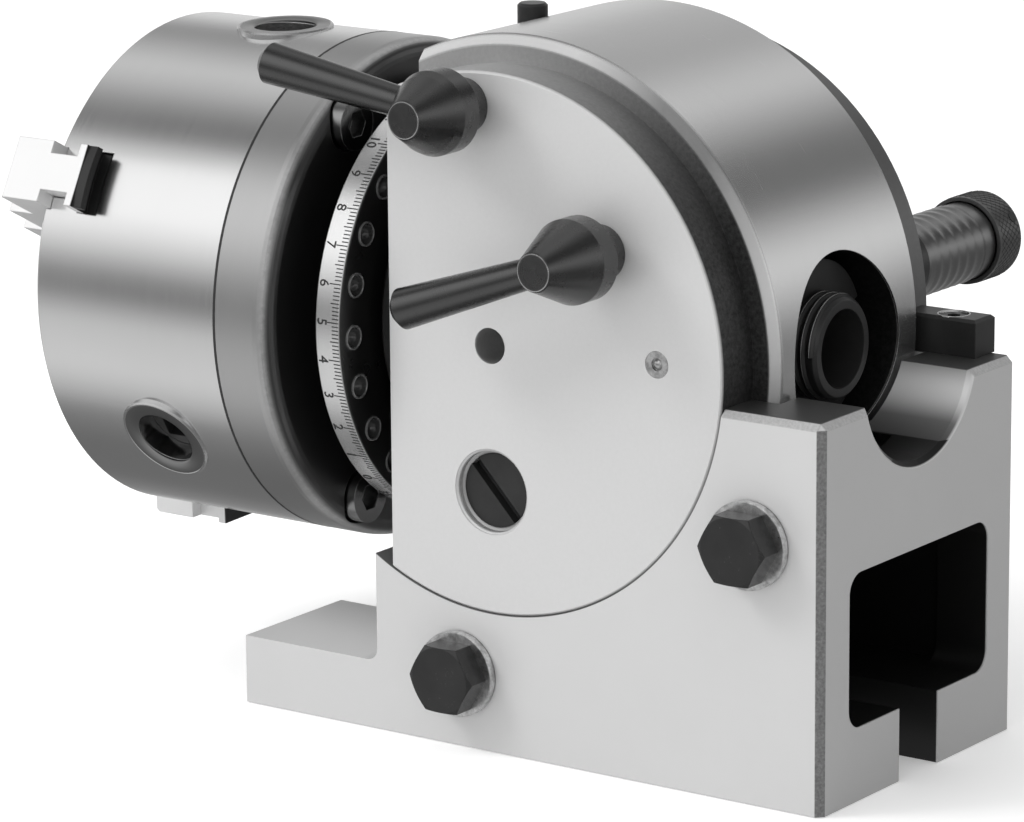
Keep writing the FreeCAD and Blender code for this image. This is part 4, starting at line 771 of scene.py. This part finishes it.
# %% Room
LEVER_BANDS = (
    (-180, 0.17), (-150, 0.17), (-128, 0.27), (-108, 0.72), (-88, 0.76), (-76, 0.72), (-54, 0.28),
    (-44, 0.34), (-20, 0.68), (-8, 0.55), (6, 0.28), (15, 0.16), (22, 0.24), (38, 1.12),
    (62, 1.15), (76, 0.75), (90, 0.26), (98, 0.19), (112, 0.64), (136, 0.74), (149, 0.55),
    (160, 0.24), (180, 0.17))
CRANK_BANDS = (
    (-180, 0.3), (-110, 0.50), (-95, 0.30), (-85, 0.30), (-45, 0.66), (-25, 0.46), (2, 0.78),
    (16, 0.46), (30, 0.17), (48, 0.14), (63, 0.64), (74, 0.92), (86, 0.62), (100, 0.22),
    (140, 0.25), (180, 0.3))


class Room(Finish):
    """The world's tree, with the direction that a ray leaves in."""

    def __init__(self):
        world = bpy.data.worlds.new("studio")
        bpy.context.scene.world = world
        world.use_nodes = True
        self.tree = world.node_tree
        self.surface = self.tree.nodes["Background"]
        self.place = self.add("ShaderNodeTexCoord").outputs["Generated"]

    def bands(self, across, up, stops):
        """Brightness round one axis of the room, from stops in degrees."""
        angle = combine("ARCTAN2", across, up) * math.degrees(1)
        shares = [(degrees / 360.0 + 0.5, level) for degrees, level in stops]
        return self.ramp(angle / 360.0 + 0.5, shares, smooth=False)


def make_room():
    room = Room()
    x, y, z = room.axes()
    lever_side = room.bands(y, z, LEVER_BANDS)
    crank_side = room.bands(x * -1.0, z, CRANK_BANDS)
    mirrored = blend(fade(x + y * 0.4, -0.25, 0.25), crank_side, lever_side)
    soft = (0.66 + y * 0.32 + x * 0.42 + z * 0.46).most(0.05)
    path = room.add("ShaderNodeLightPath")
    level = blend(Value(path.outputs["Is Glossy Ray"]), soft, mirrored)
    level = blend(Value(path.outputs["Is Camera Ray"]), level, 1.0)
    join(level, room.surface.inputs["Color"])


make_room()
print("bands in the room:", len(LEVER_BANDS) + len(CRANK_BANDS))

# %% [markdown]
# One wide lamp from above adds a soft direction to the light. It stays out of mirrored rays,
# where the room already has its bands. The floor is a plain white sheet, and glows a little so
# that it stays white at the edge of the picture while it keeps the head's shadow.

# %% Lamp and floor
LAMP_PLACE = point(700, 700, 900)
LAMP_AIM = point(0, 0, 80)

lamp_data = bpy.data.lights.new("key", "AREA")
lamp_data.shape = "DISK"
lamp_data.size = 0.5
lamp_data.energy = 6.0
lamp = bpy.data.objects.new("key", lamp_data)
bpy.context.scene.collection.objects.link(lamp)
aim = (LAMP_PLACE - LAMP_AIM).to_track_quat("Z", "Y")
lamp.matrix_world = Matrix.Translation(LAMP_PLACE) @ aim.to_matrix().to_4x4()
lamp.visible_glossy = False

floor_mesh = bpy.data.meshes.new("floor")
sheet = bmesh.new()
bmesh.ops.create_grid(sheet, x_segments=1, y_segments=1, size=6.0)
sheet.to_mesh(floor_mesh)
sheet.free()
floor = bpy.data.objects.new("floor", floor_mesh)
bpy.context.scene.collection.objects.link(floor)
floor.visible_glossy = False
floor_finish = Finish("floor_white", grey(0.9), 0.0, 0.8)
floor_finish.surface.inputs["Emission Color"].default_value = (1, 1, 1, 1)
floor_finish.surface.inputs["Emission Strength"].default_value = 0.22
floor.data.materials.append(floor_finish.material)
floor.location.z = -0.0002
print("lamp of", lamp_data.energy, "watts and a floor")

# %% [markdown]
# The camera stands at the photograph's place: behind the head on the lever side, a little above
# it, with a long lens. Its place and turn were fitted to the head's edges, which a camera aimed
# by eye would miss by a few millimetres.

# %% Camera
CAMERA_PLACE = point(-704.71, 1020.18, 375.16)
AZIMUTH, ELEVATION, ROLL = (math.radians(degrees) for degrees in (215.56, 13.58, -0.48))
LENS = 184.26


def photo_camera():
    level = math.cos(ELEVATION)
    back = Vector((math.sin(AZIMUTH) * level, -math.cos(AZIMUTH) * level, math.sin(ELEVATION)))
    side = Vector((0, 0, 1)).cross(back).normalized()
    up = back.cross(side)
    right = side * math.cos(ROLL) + up * math.sin(ROLL)
    above = up * math.cos(ROLL) - side * math.sin(ROLL)
    data = bpy.data.cameras.new("camera")
    data.lens = LENS
    data.sensor_width = 36
    data.sensor_fit = "HORIZONTAL"
    data.clip_end = 50
    holder = bpy.data.objects.new("camera", data)
    bpy.context.scene.collection.objects.link(holder)
    turn = Matrix((right, above, back)).transposed().to_4x4()
    holder.matrix_world = Matrix.Translation(CAMERA_PLACE) @ turn
    bpy.context.scene.camera = holder


photo_camera()
bpy.context.scene.view_settings.view_transform = "Standard"
print("camera lens in millimetres:", LENS)

# %% [markdown]
# At the end, a helper turns a box's corners into plain lists.

# %% Close
def corners(box):
    return [list(corner) for corner in box]
